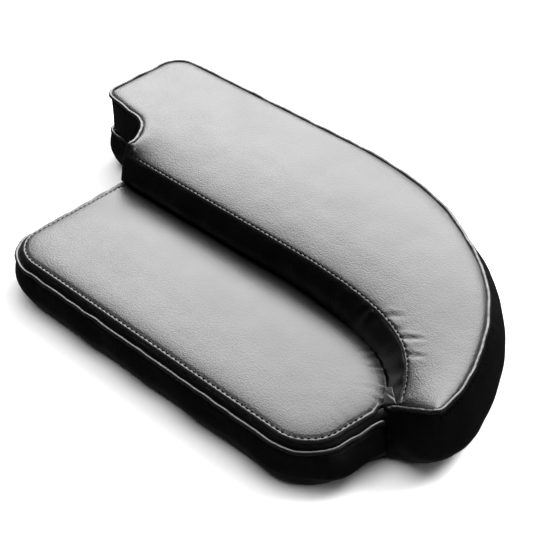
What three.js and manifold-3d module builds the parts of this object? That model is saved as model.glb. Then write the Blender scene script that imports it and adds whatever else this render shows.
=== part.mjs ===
// Padded headrest attachment for an office chair: a low head pad with a raised bolster that runs
// along its back edge and curls round its right end. A plywood board carries T-nuts for the bolts
// of the chair's bracket, three foam blocks sit on it, and sewn cover panels with piped edges are
// drawn over the foam and stapled under the board, behind a dust cover.
// Millimetres, +Z up, the underside on z = 0 and the origin at its middle.
import * as THREE from "three";
import { mergeVertices } from "three/addons/utils/BufferGeometryUtils.js";
import Module from "manifold-3d";

const wasm = await Module();
wasm.setup();
const { clamp, lerp, smoothstep: smooth } = THREE.MathUtils;

// Driving dimensions
const PAD_LEFT = -150; // the pad's left edge
const PAD_FRONT = -133.5; // the pad's front edge
const PAD_RIGHT = 175; // where the pad's front and right edges would meet
const BACK = 132; // the bolster's back edge
const TONGUE_LEFT = -223; // the bolster's left end, past the pad
const TONGUE_FRONT = 38; // the front of that end
const BOLSTER_RIGHT = 223.5; // the bolster's right edge
const BASE_TOP = 38; // height of the pad's piping
const PAD_SEAM_TOP = 43; // height of the pad's topstitched seam
const PAD_CROWN = 4.5; // how far the pad's middle stands above that seam
const BOLSTER_SEAM_TOP = 65; // height of the bolster's inner seam
const SEAM_TOP_AT_TIP = 57; // the same, where the seam ends at the tip
const SEAM_DROP = { from: -62, to: -20 }; // where it comes down, along Y
const BOLSTER_EDGE_TOP = 75.5; // height of the bolster's piping
const NOSE_TOP = 71; // the same, at the bolster's right-hand tip
const NOTCH_TOP = 50; // the same, where the tip meets the pad
const TIP_CLIMB = { from: 185, to: 222, front: -40 }; // between those two, along X
const END_CLIMB = { from: -60, to: 70 }; // from the tip round the right end, along Y
const BOLSTER_CROWN = 8.5; // how far the bolster's middle stands above its edges
const LEATHER = 1.5; // thickness of a cover panel with its backing
const GAP = 0.3; // clearance between touching pieces
const PIPING_R = 1.8;
const CORD_R = 1.0;

// Stack under the foam
const DUST_COVER = { low: 0, high: 1.0, inset: 14 };
const MARGIN = { low: 1.3, high: 2.8, inset: 25 }; // the cover's turned-under margin
const BOARD = { low: 3.1, high: 12.1, inset: 10 };
const BASE_FOAM = { low: BOARD.high + GAP, high: BASE_TOP - 3.5 };
const UPPER_FOAM_LOW = BASE_FOAM.high + GAP;

// Fasteners
const T_NUT = { flangeR: 9.5, flange: 1.2, barrelR: 3.9, barrel: 7.5, boreR: 2.5, prong: 5 };
const T_NUT_SPACING = { x: 120, y: 60 };
const STAPLE = { crown: 10, leg: 8, wide: 1.0, thick: 0.6, low: 0.2 };
const STAPLE_INSET = 19;
const STAPLES = 18;
const BOLT_CLEARANCE_R = 5;

// Materials
const leather = new THREE.MeshStandardMaterial({ color: 0x161617, roughness: 0.42, metalness: 0 });
const facing = new THREE.MeshStandardMaterial({ color: 0x111112, roughness: 0.45, metalness: 0 });
const piping = new THREE.MeshStandardMaterial({ color: 0x1b1b1c, roughness: 0.3, metalness: 0 });
const cordCore = new THREE.MeshStandardMaterial({ color: 0xd9d6cc, roughness: 0.9, metalness: 0 });
const foam = new THREE.MeshStandardMaterial({ color: 0xe6dcae, roughness: 0.95, metalness: 0 });
const plywood = new THREE.MeshStandardMaterial({ color: 0xb98f5c, roughness: 0.8, metalness: 0 });
const nonWoven = new THREE.MeshStandardMaterial({ color: 0x222224, roughness: 0.95, metalness: 0 });
const zinc = new THREE.MeshStandardMaterial({ color: 0xb9bcc0, roughness: 0.35, metalness: 1 });

// The plan: a polygon whose corners are rounded. Each corner has the lengths of edge that its
// rounding takes before and after it, the number of steps in the rounding, and how full the
// rounding is (0.55 for a quarter of an ellipse). Anticlockwise.
const ELLIPSE = 0.5523;
const CORNERS = {
  frontLeft: { x: PAD_LEFT, y: PAD_FRONT, before: 32, after: 38, steps: 6, full: ELLIPSE },
  frontRight: { x: PAD_RIGHT, y: PAD_FRONT, before: 33, after: 33, steps: 7, full: ELLIPSE },
  notch: { x: 185, y: -64.5, before: 6, after: 6, steps: 3, full: ELLIPSE },
  nose: { x: 225, y: -64.5, before: 7, after: 7, steps: 4, full: ELLIPSE },
  shoulder: { x: BOLSTER_RIGHT, y: BACK, before: 190, after: 235, steps: 16, full: 0.585 },
  backLeft: { x: TONGUE_LEFT, y: BACK, before: 22, after: 22, steps: 4, full: ELLIPSE },
  tongue: { x: TONGUE_LEFT, y: TONGUE_FRONT + 5, before: 10, after: 10, steps: 4, full: ELLIPSE },
  recess: { x: PAD_LEFT, y: TONGUE_FRONT - 5, before: 24, after: 27, steps: 6, full: ELLIPSE },
};
// At the bottom the tip is drawn in, and the notch beside it is shallow
const LOW_CORNERS = {
  ...CORNERS,
  notch: { ...CORNERS.notch, x: 187, y: -66, before: 16, after: 13 },
  nose: { ...CORNERS.nose, x: 221, y: -52, before: 16, after: 14 },
};
const LOW_OUTLINE = { from: 5, to: 34 }; // heights over which it turns into the plan above
const CORNER_NAMES = Object.keys(CORNERS);
// First station of each corner's rounding, and the last
const START = {};
const END = {};
let stationCount = 0;
for (const name of CORNER_NAMES) {
  START[name] = stationCount;
  END[name] = stationCount + CORNERS[name].steps;
  stationCount = END[name] + 1;
}

const outlines = new Map();
// The plan's outline, moved inwards by inset: one point per station. A low one is the bottom's.
function outline(inset, low = false) {
  const key = inset.toFixed(3) + low;
  if (outlines.has(key)) return outlines.get(key);
  const corners = CORNER_NAMES.map((name) => (low ? LOW_CORNERS : CORNERS)[name]);
  const count = corners.length;
  const edges = corners.map((corner, i) => {
    const next = corners[(i + 1) % count];
    const direction = new THREE.Vector2(next.x - corner.x, next.y - corner.y).normalize();
    const inward = new THREE.Vector2(-direction.y, direction.x);
    const start = new THREE.Vector2(corner.x, corner.y).addScaledVector(inward, inset);
    return { direction, start };
  });
  const places = corners.map((corner, i) => {
    const arriving = edges[(i + count - 1) % count];
    const leaving = edges[i];
    const turn = arriving.direction.cross(leaving.direction);
    const across = leaving.start.clone().sub(arriving.start);
    const along = across.cross(leaving.direction) / turn;
    const point = arriving.start.clone().addScaledVector(arriving.direction, along);
    const halfTurn = Math.tan(Math.asin(clamp(turn, -1, 1)) / 2);
    const before = Math.max(corner.before - inset * halfTurn, 0.6);
    const after = Math.max(corner.after - inset * halfTurn, 0.6);
    return { corner, arriving, leaving, point, before, after };
  });
  const points = places.flatMap(({ corner, arriving, leaving, point, before, after }, i) => {
    const previous = places[(i + count - 1) % count];
    const room = point.distanceTo(previous.point) - previous.after - 1;
    const from = point.clone().addScaledVector(arriving.direction, -Math.min(before, room));
    const to = point.clone().addScaledVector(leaving.direction, after);
    const rounding = new THREE.CubicBezierCurve(
      from,
      from.clone().lerp(point, corner.full),
      to.clone().lerp(point, corner.full),
      to,
    );
    return rounding.getPoints(corner.steps);
  });
  outlines.set(key, points);
  return points;
}

// The outline's point at a station, which may lie between two
function planPoint(station, inset, low = false) {
  const points = outline(inset, low);
  const before = Math.floor(station);
  const next = points[(before + 1) % stationCount];
  return points[before % stationCount].clone().lerp(next, station - before);
}

// That point at a height: the bottom's outline turns into the plan's on the way up
const at = (station, inset, z) => {
  const share = 1 - smooth(z, LOW_OUTLINE.from, LOW_OUTLINE.to);
  const p = planPoint(station, inset).lerp(planPoint(station, inset, true), share);
  return new THREE.Vector3(p.x, p.y, z);
};

// Stations from one to another, anticlockwise
function run(from, to) {
  const last = to > from ? to : to + stationCount;
  return Array.from({ length: last - from + 1 }, (_, i) => (from + i) % stationCount);
}

// Straight stretches cut into pieces no longer than a step, so that a curved height can follow
function spaced(points, step) {
  return points.flatMap((p, i) => {
    if (i === points.length - 1) return [p];
    const parts = Math.max(1, Math.round(p.distanceTo(points[i + 1]) / step));
    return Array.from({ length: parts }, (_, k) => p.clone().lerp(points[i + 1], k / parts));
  });
}

// n points spread evenly along a line of points
function resample(points, n) {
  const lengths = [0];
  for (let i = 1; i < points.length; i++)
    lengths.push(lengths[i - 1] + points[i].distanceTo(points[i - 1]));
  return Array.from({ length: n }, (_, k) => {
    const wanted = (lengths.at(-1) * k) / (n - 1);
    let i = lengths.findIndex((length) => length >= wanted - 1e-9);
    i = Math.max(i, 1);
    const share = (wanted - lengths[i - 1]) / (lengths[i] - lengths[i - 1]);
    return points[i - 1].clone().lerp(points[i], share);
  });
}

function geometryOf(positions, faces) {
  const geometry = new THREE.BufferGeometry();
  geometry.setAttribute("position", new THREE.Float32BufferAttribute(positions, 3));
  geometry.setIndex(faces);
  return geometry;
}

// A closed body through sections, each a loop of the same number of points. The two ends are
// capped by triangulating the loop on the plane that its first cap lies nearest to.
function skin(sections, closed = false) {
  const size = sections[0].length;
  const positions = sections.flat().flatMap((p) => [p.x, p.y, p.z]);
  const faces = [];
  const rings = closed ? sections.length : sections.length - 1;
  for (let s = 0; s < rings; s++)
    for (let k = 0; k < size; k++) {
      const next = (k + 1) % size;
      const a = s * size + k;
      const b = s * size + next;
      const c = ((s + 1) % sections.length) * size + next;
      const d = ((s + 1) % sections.length) * size + k;
      faces.push(a, b, c, a, c, d);
    }
  if (!closed) {
    cap(sections[0], 0, true, faces);
    cap(sections.at(-1), (sections.length - 1) * size, false, faces);
  }
  return facingOut(geometryOf(positions, faces));
}

function cap(loop, offset, flip, faces) {
  const normal = new THREE.Vector3();
  loop.forEach((p, i) => {
    const q = loop[(i + 1) % loop.length];
    normal.x += (p.y - q.y) * (p.z + q.z);
    normal.y += (p.z - q.z) * (p.x + q.x);
    normal.z += (p.x - q.x) * (p.y + q.y);
  });
  normal.normalize();
  const u = new THREE.Vector3(0, 0, 1);
  if (Math.abs(normal.z) > 0.9) u.set(1, 0, 0);
  u.addScaledVector(normal, -u.dot(normal)).normalize();
  const v = new THREE.Vector3().crossVectors(normal, u);
  const flat = loop.map((p) => new THREE.Vector2(p.dot(u), p.dot(v)));
  for (const [a, b, c] of THREE.ShapeUtils.triangulateShape(flat, [])) {
    if (flip) faces.push(offset + a, offset + c, offset + b);
    else faces.push(offset + a, offset + b, offset + c);
  }
}

// Turns every face round if the body's volume comes out negative
function facingOut(geometry) {
  const p = geometry.getAttribute("position");
  const index = geometry.index.array;
  const [a, b, c] = [new THREE.Vector3(), new THREE.Vector3(), new THREE.Vector3()];
  let volume = 0;
  for (let i = 0; i < index.length; i += 3) {
    a.fromBufferAttribute(p, index[i]);
    b.fromBufferAttribute(p, index[i + 1]);
    c.fromBufferAttribute(p, index[i + 2]);
    volume += a.dot(b.cross(c));
  }
  if (volume < 0)
    for (let i = 0; i < index.length; i += 3)
      [index[i + 1], index[i + 2]] = [index[i + 2], index[i + 1]];
  return geometry;
}

// Booleans
function solid(geometry) {
  const bare = new THREE.BufferGeometry();
  const source = geometry.index ? geometry.toNonIndexed() : geometry;
  bare.setAttribute("position", source.getAttribute("position"));
  const merged = mergeVertices(bare, 1e-4);
  return new wasm.Manifold(
    new wasm.Mesh({
      numProp: 3,
      vertProperties: merged.attributes.position.array,
      triVerts: new Uint32Array(merged.index.array),
    }),
  );
}

function geometryFrom(manifold) {
  const mesh = manifold.getMesh();
  return geometryOf(Array.from(mesh.vertProperties), Array.from(mesh.triVerts));
}

const cut = (geometry, tools) =>
  geometryFrom(tools.reduce((body, tool) => body.subtract(solid(tool)), solid(geometry)));
const joined = (geometries) =>
  geometryFrom(geometries.map(solid).reduce((body, more) => body.add(more)));

// A flat plate of the plan's outline
function plate({ low, high, inset }) {
  const shape = new THREE.Shape(outline(inset, true));
  const geometry = new THREE.ExtrudeGeometry(shape, { depth: high - low, bevelEnabled: false });
  return geometry.translate(0, 0, low);
}

// Heights and bulges of the side walls. The tall band reaches from the notch to the back-left
// corner, and the low one goes round the rest.
const NOTCH_SEAM = START.notch + 1.5;
const CORNER_SEAM = START.backLeft + 0.5;
const isTall = (station) => station > NOTCH_SEAM && station < CORNER_SEAM;
const PANEL_EDGE = 2 * PIPING_R + GAP; // a piped panel starts this far in from the outline

// Height of the bolster's piping: it climbs from the notch to the tip and round the right end
function edgeTop(point) {
  const { from, to, front } = TIP_CLIMB;
  const along = clamp((point.x - from) / (to - from), 0, 1);
  const tip = point.y < front && point.x < to ? lerp(NOTCH_TOP, NOSE_TOP, along) : NOSE_TOP;
  return lerp(tip, BOLSTER_EDGE_TOP, smooth(point.y, END_CLIMB.from, END_CLIMB.to));
}

function wallTop(station) {
  return isTall(station) ? edgeTop(planPoint(station, 0)) : BASE_TOP;
}

// How far the filled cover stands out at half height
function bulge(station) {
  if (!isTall(station)) return 3.5;
  const p = planPoint(station, 0);
  return 4 + 5 * smooth(p.y, -66, -30) * smooth(p.x, -200, -60);
}

const WALL_SHARES = [0.28, 0.45, 0.62, 0.8];
// The outer line of a wall's section as [inset, z], from the turned-under edge to the piping
function wallLine(station, extra) {
  const top = wallTop(station) - PIPING_R - GAP;
  const out = bulge(station);
  const line = [
    [9 + extra, MARGIN.low + Math.min(extra, LEATHER)],
    [3 + extra, 5 + extra * 0.4],
  ];
  for (const share of WALL_SHARES)
    line.push([-out * Math.sin(Math.PI * share ** 0.85) + extra, top * share]);
  line.push([extra, top]);
  return line;
}

// That line's inset at a height
function wallInset(station, extra, z) {
  const line = wallLine(station, extra);
  const i = Math.max(1, line.findIndex((point) => point[1] >= z));
  const [[insetA, a], [insetB, b]] = [line[i - 1], line[i]];
  return lerp(insetA, insetB, (z - a) / (b - a));
}

function sideBand(stations) {
  return skin(
    stations.map((station) => {
      const outer = wallLine(station, 0);
      const inner = wallLine(station, LEATHER).reverse();
      const margin = [
        [MARGIN.inset, MARGIN.high],
        [MARGIN.inset, MARGIN.low],
      ];
      return [...outer, ...inner, ...margin].map(([inset, z]) => at(station, inset, z));
    }),
  );
}

// A tube along a line of points; a hollow one has a bore of innerR
function tube(points, outerR, innerR = 0) {
  const curve = new THREE.CatmullRomCurve3(points, false, "centripetal");
  const section = new THREE.Shape(ring(outerR));
  if (innerR) section.holes.push(new THREE.Path(ring(innerR)));
  return new THREE.ExtrudeGeometry(section, {
    steps: points.length - 1,
    extrudePath: new PointPath(points, curve),
    bevelEnabled: false,
  });
}

const TUBE_SIDES = 6;
const ring = (radius) =>
  Array.from({ length: TUBE_SIDES }, (_, i) => {
    const angle = (2 * Math.PI * i) / TUBE_SIDES;
    return new THREE.Vector2(radius * Math.cos(angle), radius * Math.sin(angle));
  });

// A path whose steps fall on the given points, so that straight stretches need no extra steps.
// Its frames keep one side level, so the tube doesn't twist where it turns.
class PointPath extends THREE.Curve {
  constructor(points, curve) {
    super();
    this.points = points;
    this.curve = curve;
  }
  getPoint(t) {
    return this.curve.getPoint(t);
  }
  getSpacedPoints() {
    return this.points.map((p) => p.clone());
  }
  computeFrenetFrames(segments) {
    const tangents = [];
    const normals = [];
    const binormals = [];
    for (let i = 0; i <= segments; i++) {
      const before = this.points[Math.max(i - 1, 0)];
      const after = this.points[Math.min(i + 1, segments)];
      const tangent = after.clone().sub(before).normalize();
      const level = new THREE.Vector3(-tangent.y, tangent.x, 0).normalize();
      tangents.push(tangent);
      normals.push(level);
      binormals.push(new THREE.Vector3().crossVectors(tangent, level));
    }
    return { tangents, normals, binormals };
  }
}

const root = new THREE.Group();
const assembly = new THREE.Group();
root.add(assembly);

function add(name, geometry, material) {
  const mesh = new THREE.Mesh(geometry, material);
  mesh.name = name;
  assembly.add(mesh);
  return mesh;
}

// ---- The bolster: rails along its inner seam, the foot of its inner face and its outer edge ----
const SEAM_Y = 1.5;
const FOOT_Y = -2;
const CURL_FROM = 20; // where the rails start to curl, along X
const NOSE_STEPS = CORNERS.nose.steps;
const CURL_STATIONS = 19;
const STRAIGHT_STATIONS = 6;

const curl = (...corners) =>
  new THREE.CubicBezierCurve(...corners.map(([x, y]) => new THREE.Vector2(x, y)));
const seamCurl = curl([CURL_FROM, SEAM_Y], [132, SEAM_Y], [171, -14], [191, -61.4]);
const footCurl = curl([CURL_FROM, FOOT_Y], [104, FOOT_Y], [161, -22], [176, -57]);

// n points from the curl's far end back to where it starts
const backAlong = (rail, n) => resample(rail.getPoints(60), n).reverse();

// Where the outer edge crosses an X
function edgeAtX(inset, x) {
  const edge = run(END.nose, START.backLeft).map((station) => outline(inset)[station]);
  for (let i = 1; i < edge.length; i++) {
    const [a, b] = [edge[i - 1], edge[i]];
    if (a.x >= x && b.x <= x && a.x !== b.x) return a.clone().lerp(b, (a.x - x) / (a.x - b.x));
  }
  return edge.at(-1).clone();
}

// The outer edge's points for the curl: round the tip, then on to the straight part
function outerCurl(inset) {
  const tip = run(START.nose, END.nose - 1).map((station) => outline(inset)[station]);
  const side = run(END.nose, END.shoulder).map((station) => outline(inset)[station]);
  const rest = [...side.filter((p) => p.x > CURL_FROM), edgeAtX(inset, CURL_FROM)];
  return [...tip, ...resample(rest, CURL_STATIONS - NOSE_STEPS)];
}

// One row per section, from the tip to the left end: plan points on the inner seam, the foot
// and the outer edge, and how far the section has moved into the left-hand end, from 0 to 1.
function bolsterRows(inset, leftX) {
  const rows = [];
  const seam = backAlong(seamCurl, CURL_STATIONS);
  const foot = backAlong(footCurl, CURL_STATIONS);
  outerCurl(inset).forEach((outer, i) => {
    rows.push({ seam: seam[i], foot: foot[i], outer, end: 0 });
  });
  for (let i = 1; i < STRAIGHT_STATIONS; i++) {
    const x = lerp(CURL_FROM, leftX, i / (STRAIGHT_STATIONS - 1));
    rows.push({
      seam: new THREE.Vector2(x, SEAM_Y),
      foot: new THREE.Vector2(x, FOOT_Y),
      outer: edgeAtX(inset, x),
      end: 0,
    });
  }
  return rows;
}

// The rest of the rows: round the recess, then round the left end
function endRows(inset) {
  const recess = run(START.recess, END.recess - 1).reverse();
  const recessRows = recess.map((station) => {
    const p = outline(inset)[station];
    return { seam: p, outer: edgeAtX(inset, p.x), end: smooth(p.y, 2, 26) };
  });
  const turn = Array.from({ length: CORNERS.tongue.steps + 1 }, (_, k) => ({
    seam: outline(inset)[END.tongue - k],
    outer: outline(inset)[START.backLeft + k],
    end: 1,
  }));
  return [...recessRows, ...turn];
}

const allRows = [...bolsterRows(PANEL_EDGE, PAD_LEFT + PANEL_EDGE), ...endRows(PANEL_EDGE)];

// Height of the bolster's cover over a row, at a share of the way from its seam to its edge
function bolsterTop(row, share) {
  const drop = smooth(row.seam.y, SEAM_DROP.from, SEAM_DROP.to);
  const seamTop = lerp(SEAM_TOP_AT_TIP, BOLSTER_SEAM_TOP, drop);
  const seamZ = lerp(seamTop, BOLSTER_EDGE_TOP, row.end);
  const edgeZ = edgeTop(row.outer);
  const width = row.outer.distanceTo(row.seam);
  const crown = BOLSTER_CROWN * Math.min(1, width / 100);
  const rise = 1 - (1 - share) ** 4;
  return lerp(seamZ, edgeZ, rise) + crown * Math.sin(Math.PI * share) ** 0.8;
}

const TOP_SHARES = [0, 0.06, 0.15, 0.3, 0.5, 0.7, 0.85, 0.94, 1];

function bolsterTopLine(row, drop) {
  return TOP_SHARES.map((share) => {
    const p = row.seam.clone().lerp(row.outer, share);
    return new THREE.Vector3(p.x, p.y, bolsterTop(row, share) - drop);
  });
}

function bolsterTopPanel() {
  return skin(
    allRows.map((row) => [
      ...bolsterTopLine(row, 0),
      ...bolsterTopLine(row, LEATHER).reverse(),
    ]),
  );
}

// The foam under that panel, on the same rows, drawn in at both ends
function bolsterFoam() {
  const first = allRows[0];
  const last = allRows.at(-1);
  const drawnIn = (row) => {
    const moved = { ...row, seam: row.seam.clone(), outer: row.outer.clone() };
    if (row === first) [moved.seam.y, moved.outer.y] = [row.seam.y + 1.5, row.outer.y + 1.5];
    if (row === last) [moved.seam.x, moved.outer.x] = [row.seam.x + 1, row.outer.x + 1];
    return moved;
  };
  return skin(
    allRows.map(drawnIn).map((row) => {
      const top = bolsterTopLine(row, LEATHER + GAP);
      const away = row.outer.clone().sub(row.seam).normalize();
      const seam = row.seam.clone().addScaledVector(away, LEATHER + 1);
      const foot = row.foot ? row.foot.clone().addScaledVector(away, LEATHER + 1) : seam;
      return [
        new THREE.Vector3(foot.x, foot.y, UPPER_FOAM_LOW),
        new THREE.Vector3(foot.x, foot.y, UPPER_FOAM_LOW + 5),
        new THREE.Vector3(seam.x, seam.y, top[0].z - 3),
        ...top.slice(1),
        new THREE.Vector3(row.outer.x, row.outer.y, UPPER_FOAM_LOW),
      ];
    }),
  );
}

// The face that looks on to the pad, from its foot up to the seam
function innerFacing() {
  const rows = bolsterRows(PANEL_EDGE, PAD_LEFT + PANEL_EDGE + 1);
  const footZ = PAD_SEAM_TOP - 1;
  return skin(
    rows.map((row) => {
      const away = row.outer.clone().sub(row.seam).normalize();
      const seamZ = bolsterTop(row, 0) - LEATHER - GAP;
      const middle = row.foot.clone().lerp(row.seam, 0.45);
      const point = (p, out, z) => new THREE.Vector3(p.x + away.x * out, p.y + away.y * out, z);
      return [
        point(row.foot, 0, footZ),
        point(middle, -0.8, lerp(footZ, seamZ, 0.5)),
        point(row.seam, -0.6, seamZ),
        point(row.seam, LEATHER - 0.6, seamZ),
        point(middle, LEATHER - 0.8, lerp(footZ, seamZ, 0.5)),
        point(row.foot, LEATHER, footZ),
      ];
    }),
  );
}

// ---- The pad ----
const STRIP_INSET = 9; // the topstitched seam's distance from the outline

// One row per section, from the left edge to the right: plan points on the front edge and on
// the foot of the bolster
const PAD_BEND = 96; // past this X the rows turn with the corner
function padRows(inset) {
  const front = outline(inset).slice(START.frontLeft, START.notch);
  const foot = [new THREE.Vector2(PAD_LEFT + inset, FOOT_Y), ...footCurl.getPoints(40)];
  const footAtX = (x) => {
    const i = Math.max(1, foot.findIndex((p) => p.x >= x));
    return foot[i - 1].clone().lerp(foot[i], (x - foot[i - 1].x) / (foot[i].x - foot[i - 1].x));
  };
  const dense = spaced(front, 45);
  const straight = dense.filter((p) => p.x <= PAD_BEND);
  const bent = dense.filter((p) => p.x > PAD_BEND);
  const footEnd = foot.filter((p) => p.x > PAD_BEND && p.y > -57 + inset / 2);
  const turning = resample([footAtX(PAD_BEND), ...footEnd], bent.length + 1).slice(1);
  return [
    ...straight.map((p) => ({ front: p, foot: footAtX(Math.max(p.x, PAD_LEFT + inset)) })),
    ...bent.map((p, i) => ({ front: p, foot: turning[i] })),
  ];
}

const PAD_SHARES = [0, 0.08, 0.2, 0.4, 0.65, 0.85, 1];
function padTop(row, share, index, count) {
  const ends = Math.sin((Math.PI * (index + 0.6)) / (count + 0.2)) ** 0.35;
  return PAD_SEAM_TOP + PAD_CROWN * ends * Math.sin(Math.PI * (0.06 + 0.84 * share)) ** 0.6;
}

function padLine(row, index, count, drop) {
  return PAD_SHARES.map((share) => {
    const p = row.front.clone().lerp(row.foot, share);
    return new THREE.Vector3(p.x, p.y, padTop(row, share, index, count) - drop);
  });
}

function padTopPanel() {
  const rows = padRows(STRIP_INSET + GAP);
  rows.forEach((row) => row.foot.lerp(row.front, 0.006));
  return skin(
    rows.map((row, i) => [
      ...padLine(row, i, rows.length, 0),
      ...padLine(row, i, rows.length, LEATHER).reverse(),
    ]),
  );
}

function padFoam() {
  const rows = padRows(STRIP_INSET + 2.5);
  rows.forEach((row) => row.foot.lerp(row.front, 0.03));
  return skin(
    rows.map((row, i) => {
      const top = padLine(row, i, rows.length, LEATHER + 2 * GAP);
      const [first, last] = [top[0], top.at(-1)];
      return [
        ...top,
        new THREE.Vector3(last.x, last.y, UPPER_FOAM_LOW),
        new THREE.Vector3(first.x, first.y, UPPER_FOAM_LOW),
      ];
    }),
  );
}

// The strip between the pad's piping and its topstitched seam
function borderStrip() {
  const first = outline(0)[START.frontLeft].clone();
  const stations = run(START.frontLeft, START.notch);
  const section = [
    [PANEL_EDGE, BASE_TOP + 0.6],
    [6.2, BASE_TOP + 3.6],
    [STRIP_INSET, PAD_SEAM_TOP],
    [STRIP_INSET, PAD_SEAM_TOP - LEATHER],
    [6.2, BASE_TOP + 3.6 - LEATHER],
    [PANEL_EDGE, BASE_TOP + 0.6 - LEATHER],
  ];
  const sections = stations.map((station) => section.map(([inset, z]) => at(station, inset, z)));
  // The left edge runs on, straight back to the bolster
  const leftEnd = section.map(([inset, z]) => new THREE.Vector3(first.x + inset, -12, z));
  return skin([leftEnd, ...sections]);
}

// ---- The base's foam, just inside the side bands ----
function baseFoam() {
  const stations = run(0, stationCount - 1);
  const rings = [0, 0.35, 0.7, 1].map((share) => {
    const z = lerp(BASE_FOAM.low, BASE_FOAM.high, share);
    const clearance = LEATHER + 2.5 * GAP;
    return stations.map((station) => {
      const near = [station, station + 1, station + stationCount - 1];
      const insets = near.map((other) => wallInset(other % stationCount, clearance, z));
      return at(station, Math.max(...insets), z);
    });
  });
  return skin(rings);
}

// ---- Fasteners ----
function tNut() {
  const { flangeR, flange, barrelR, barrel, boreR, prong } = T_NUT;
  const top = BOARD.high + GAP + flange;
  const seat = BOARD.high + GAP;
  const profile = [
    [boreR, seat - barrel],
    [barrelR, seat - barrel],
    [barrelR, seat],
    [flangeR, seat],
    [flangeR, top],
    [boreR, top],
    [boreR, seat - barrel],
  ].map(([r, z]) => new THREE.Vector2(r, z));
  const body = new THREE.LatheGeometry(profile, 16).rotateX(Math.PI / 2);
  const prongs = [0, 1, 2, 3].map((i) =>
    new THREE.BoxGeometry(0.8, 2.4, prong + 0.5)
      .translate(flangeR - 1.2, 0, seat - prong / 2 + 0.25)
      .rotateZ((Math.PI / 2) * i + Math.PI / 4),
  );
  return joined([body, ...prongs]);
}

// The room that a T-nut takes: its barrel, and its prongs, with clearance all round
function tNutRoom(x, y) {
  const { flangeR, barrelR, prong } = T_NUT;
  const bore = new THREE.CylinderGeometry(barrelR + GAP, barrelR + GAP, 40, 16);
  const slots = [0, 1, 2, 3].map((i) =>
    new THREE.BoxGeometry(0.8 + 2 * GAP, 2.4 + 2 * GAP, prong + 2)
      .translate(flangeR - 1.2, 0, BOARD.high + GAP - prong / 2)
      .rotateZ((Math.PI / 2) * i + Math.PI / 4),
  );
  return [bore.rotateX(Math.PI / 2), ...slots].map((tool) => tool.translate(x, y, 0));
}

function staple(clearance) {
  const { crown, leg, wide, thick, low } = STAPLE;
  const c = clearance;
  const bar = new THREE.BoxGeometry(crown + 2 * c, wide + 2 * c, thick + 2 * c);
  const legs = [-1, 1].map((side) =>
    new THREE.BoxGeometry(thick + 2 * c, wide + 2 * c, leg + 2 * c).translate(
      (side * (crown - thick)) / 2,
      0,
      low + leg / 2,
    ),
  );
  return joined([bar.translate(0, 0, low + thick / 2), ...legs]);
}

// Places for the staples: spread evenly round the plan, each along the edge
function staplePlaces() {
  const loop = outline(STAPLE_INSET, true);
  const line = resample([...loop, loop[0]], STAPLES + 1);
  const ahead = resample([...loop, loop[0]], 10 * STAPLES + 1);
  return line.slice(0, STAPLES).map((_, i) => {
    const here = ahead[10 * i + 5];
    const next = ahead[10 * i + 6];
    return { x: here.x, y: here.y, angle: Math.atan2(next.y - here.y, next.x - here.x) };
  });
}

const tNutPlaces = [-1, 1].flatMap((sx) =>
  [-1, 1].map((sy) => ({
    x: (sx * T_NUT_SPACING.x) / 2,
    y: (sy * T_NUT_SPACING.y) / 2,
  })),
);
const placed = (geometry, place) => geometry.rotateZ(place.angle).translate(place.x, place.y, 0);
const staples = staplePlaces();
const stapleRoom = () => staples.map((place) => placed(staple(GAP), place));

// ---- The assembly ----
const boltHoles = tNutPlaces.map(({ x, y }) =>
  new THREE.CylinderGeometry(BOLT_CLEARANCE_R, BOLT_CLEARANCE_R, 6, 16)
    .rotateX(Math.PI / 2)
    .translate(x, y, 0),
);
add("dust_cover", cut(plate(DUST_COVER), [...boltHoles, ...stapleRoom()]), nonWoven);
const nutRoom = tNutPlaces.flatMap(({ x, y }) => tNutRoom(x, y));
add("back_board", cut(plate(BOARD), [...nutRoom, ...stapleRoom()]), plywood);
tNutPlaces.forEach((place, i) => {
  add(`t_nut_${i + 1}`, tNut(), zinc).position.set(place.x, place.y, 0);
});
staples.forEach((place, i) => {
  const mesh = add(`staple_${String(i + 1).padStart(2, "0")}`, staple(0), zinc);
  mesh.position.set(place.x, place.y, 0);
  mesh.rotation.z = place.angle;
});

const flangeRoom = tNutPlaces.map(({ x, y }) =>
  new THREE.CylinderGeometry(T_NUT.flangeR + 1, T_NUT.flangeR + 1, 2 * (T_NUT.flange + 1), 16)
    .rotateX(Math.PI / 2)
    .translate(x, y, BASE_FOAM.low),
);
add("base_foam", cut(baseFoam(), flangeRoom), foam);
add("pad_foam", padFoam(), foam);
add("bolster_foam", bolsterFoam(), foam);

// Two side bands, sewn to each other at the notch and at the back-left corner
const SEAM_ROOM = 0.06;
const lowBand = [
  CORNER_SEAM + SEAM_ROOM,
  ...run(START.backLeft + 1, START.notch + 1),
  NOTCH_SEAM - SEAM_ROOM,
];
const tallBand = [
  NOTCH_SEAM + SEAM_ROOM,
  ...run(START.notch + 2, START.backLeft),
  CORNER_SEAM - SEAM_ROOM,
];
add("base_side_band", cut(sideBand(lowBand), stapleRoom()), leather);
add("bolster_side_band", cut(sideBand(tallBand), stapleRoom()), leather);
add("pad_top_panel", padTopPanel(), leather);
add("pad_border_strip", borderStrip(), leather);
add("bolster_top_panel", bolsterTopPanel(), leather);
add("bolster_inner_facing", innerFacing(), facing);

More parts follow.
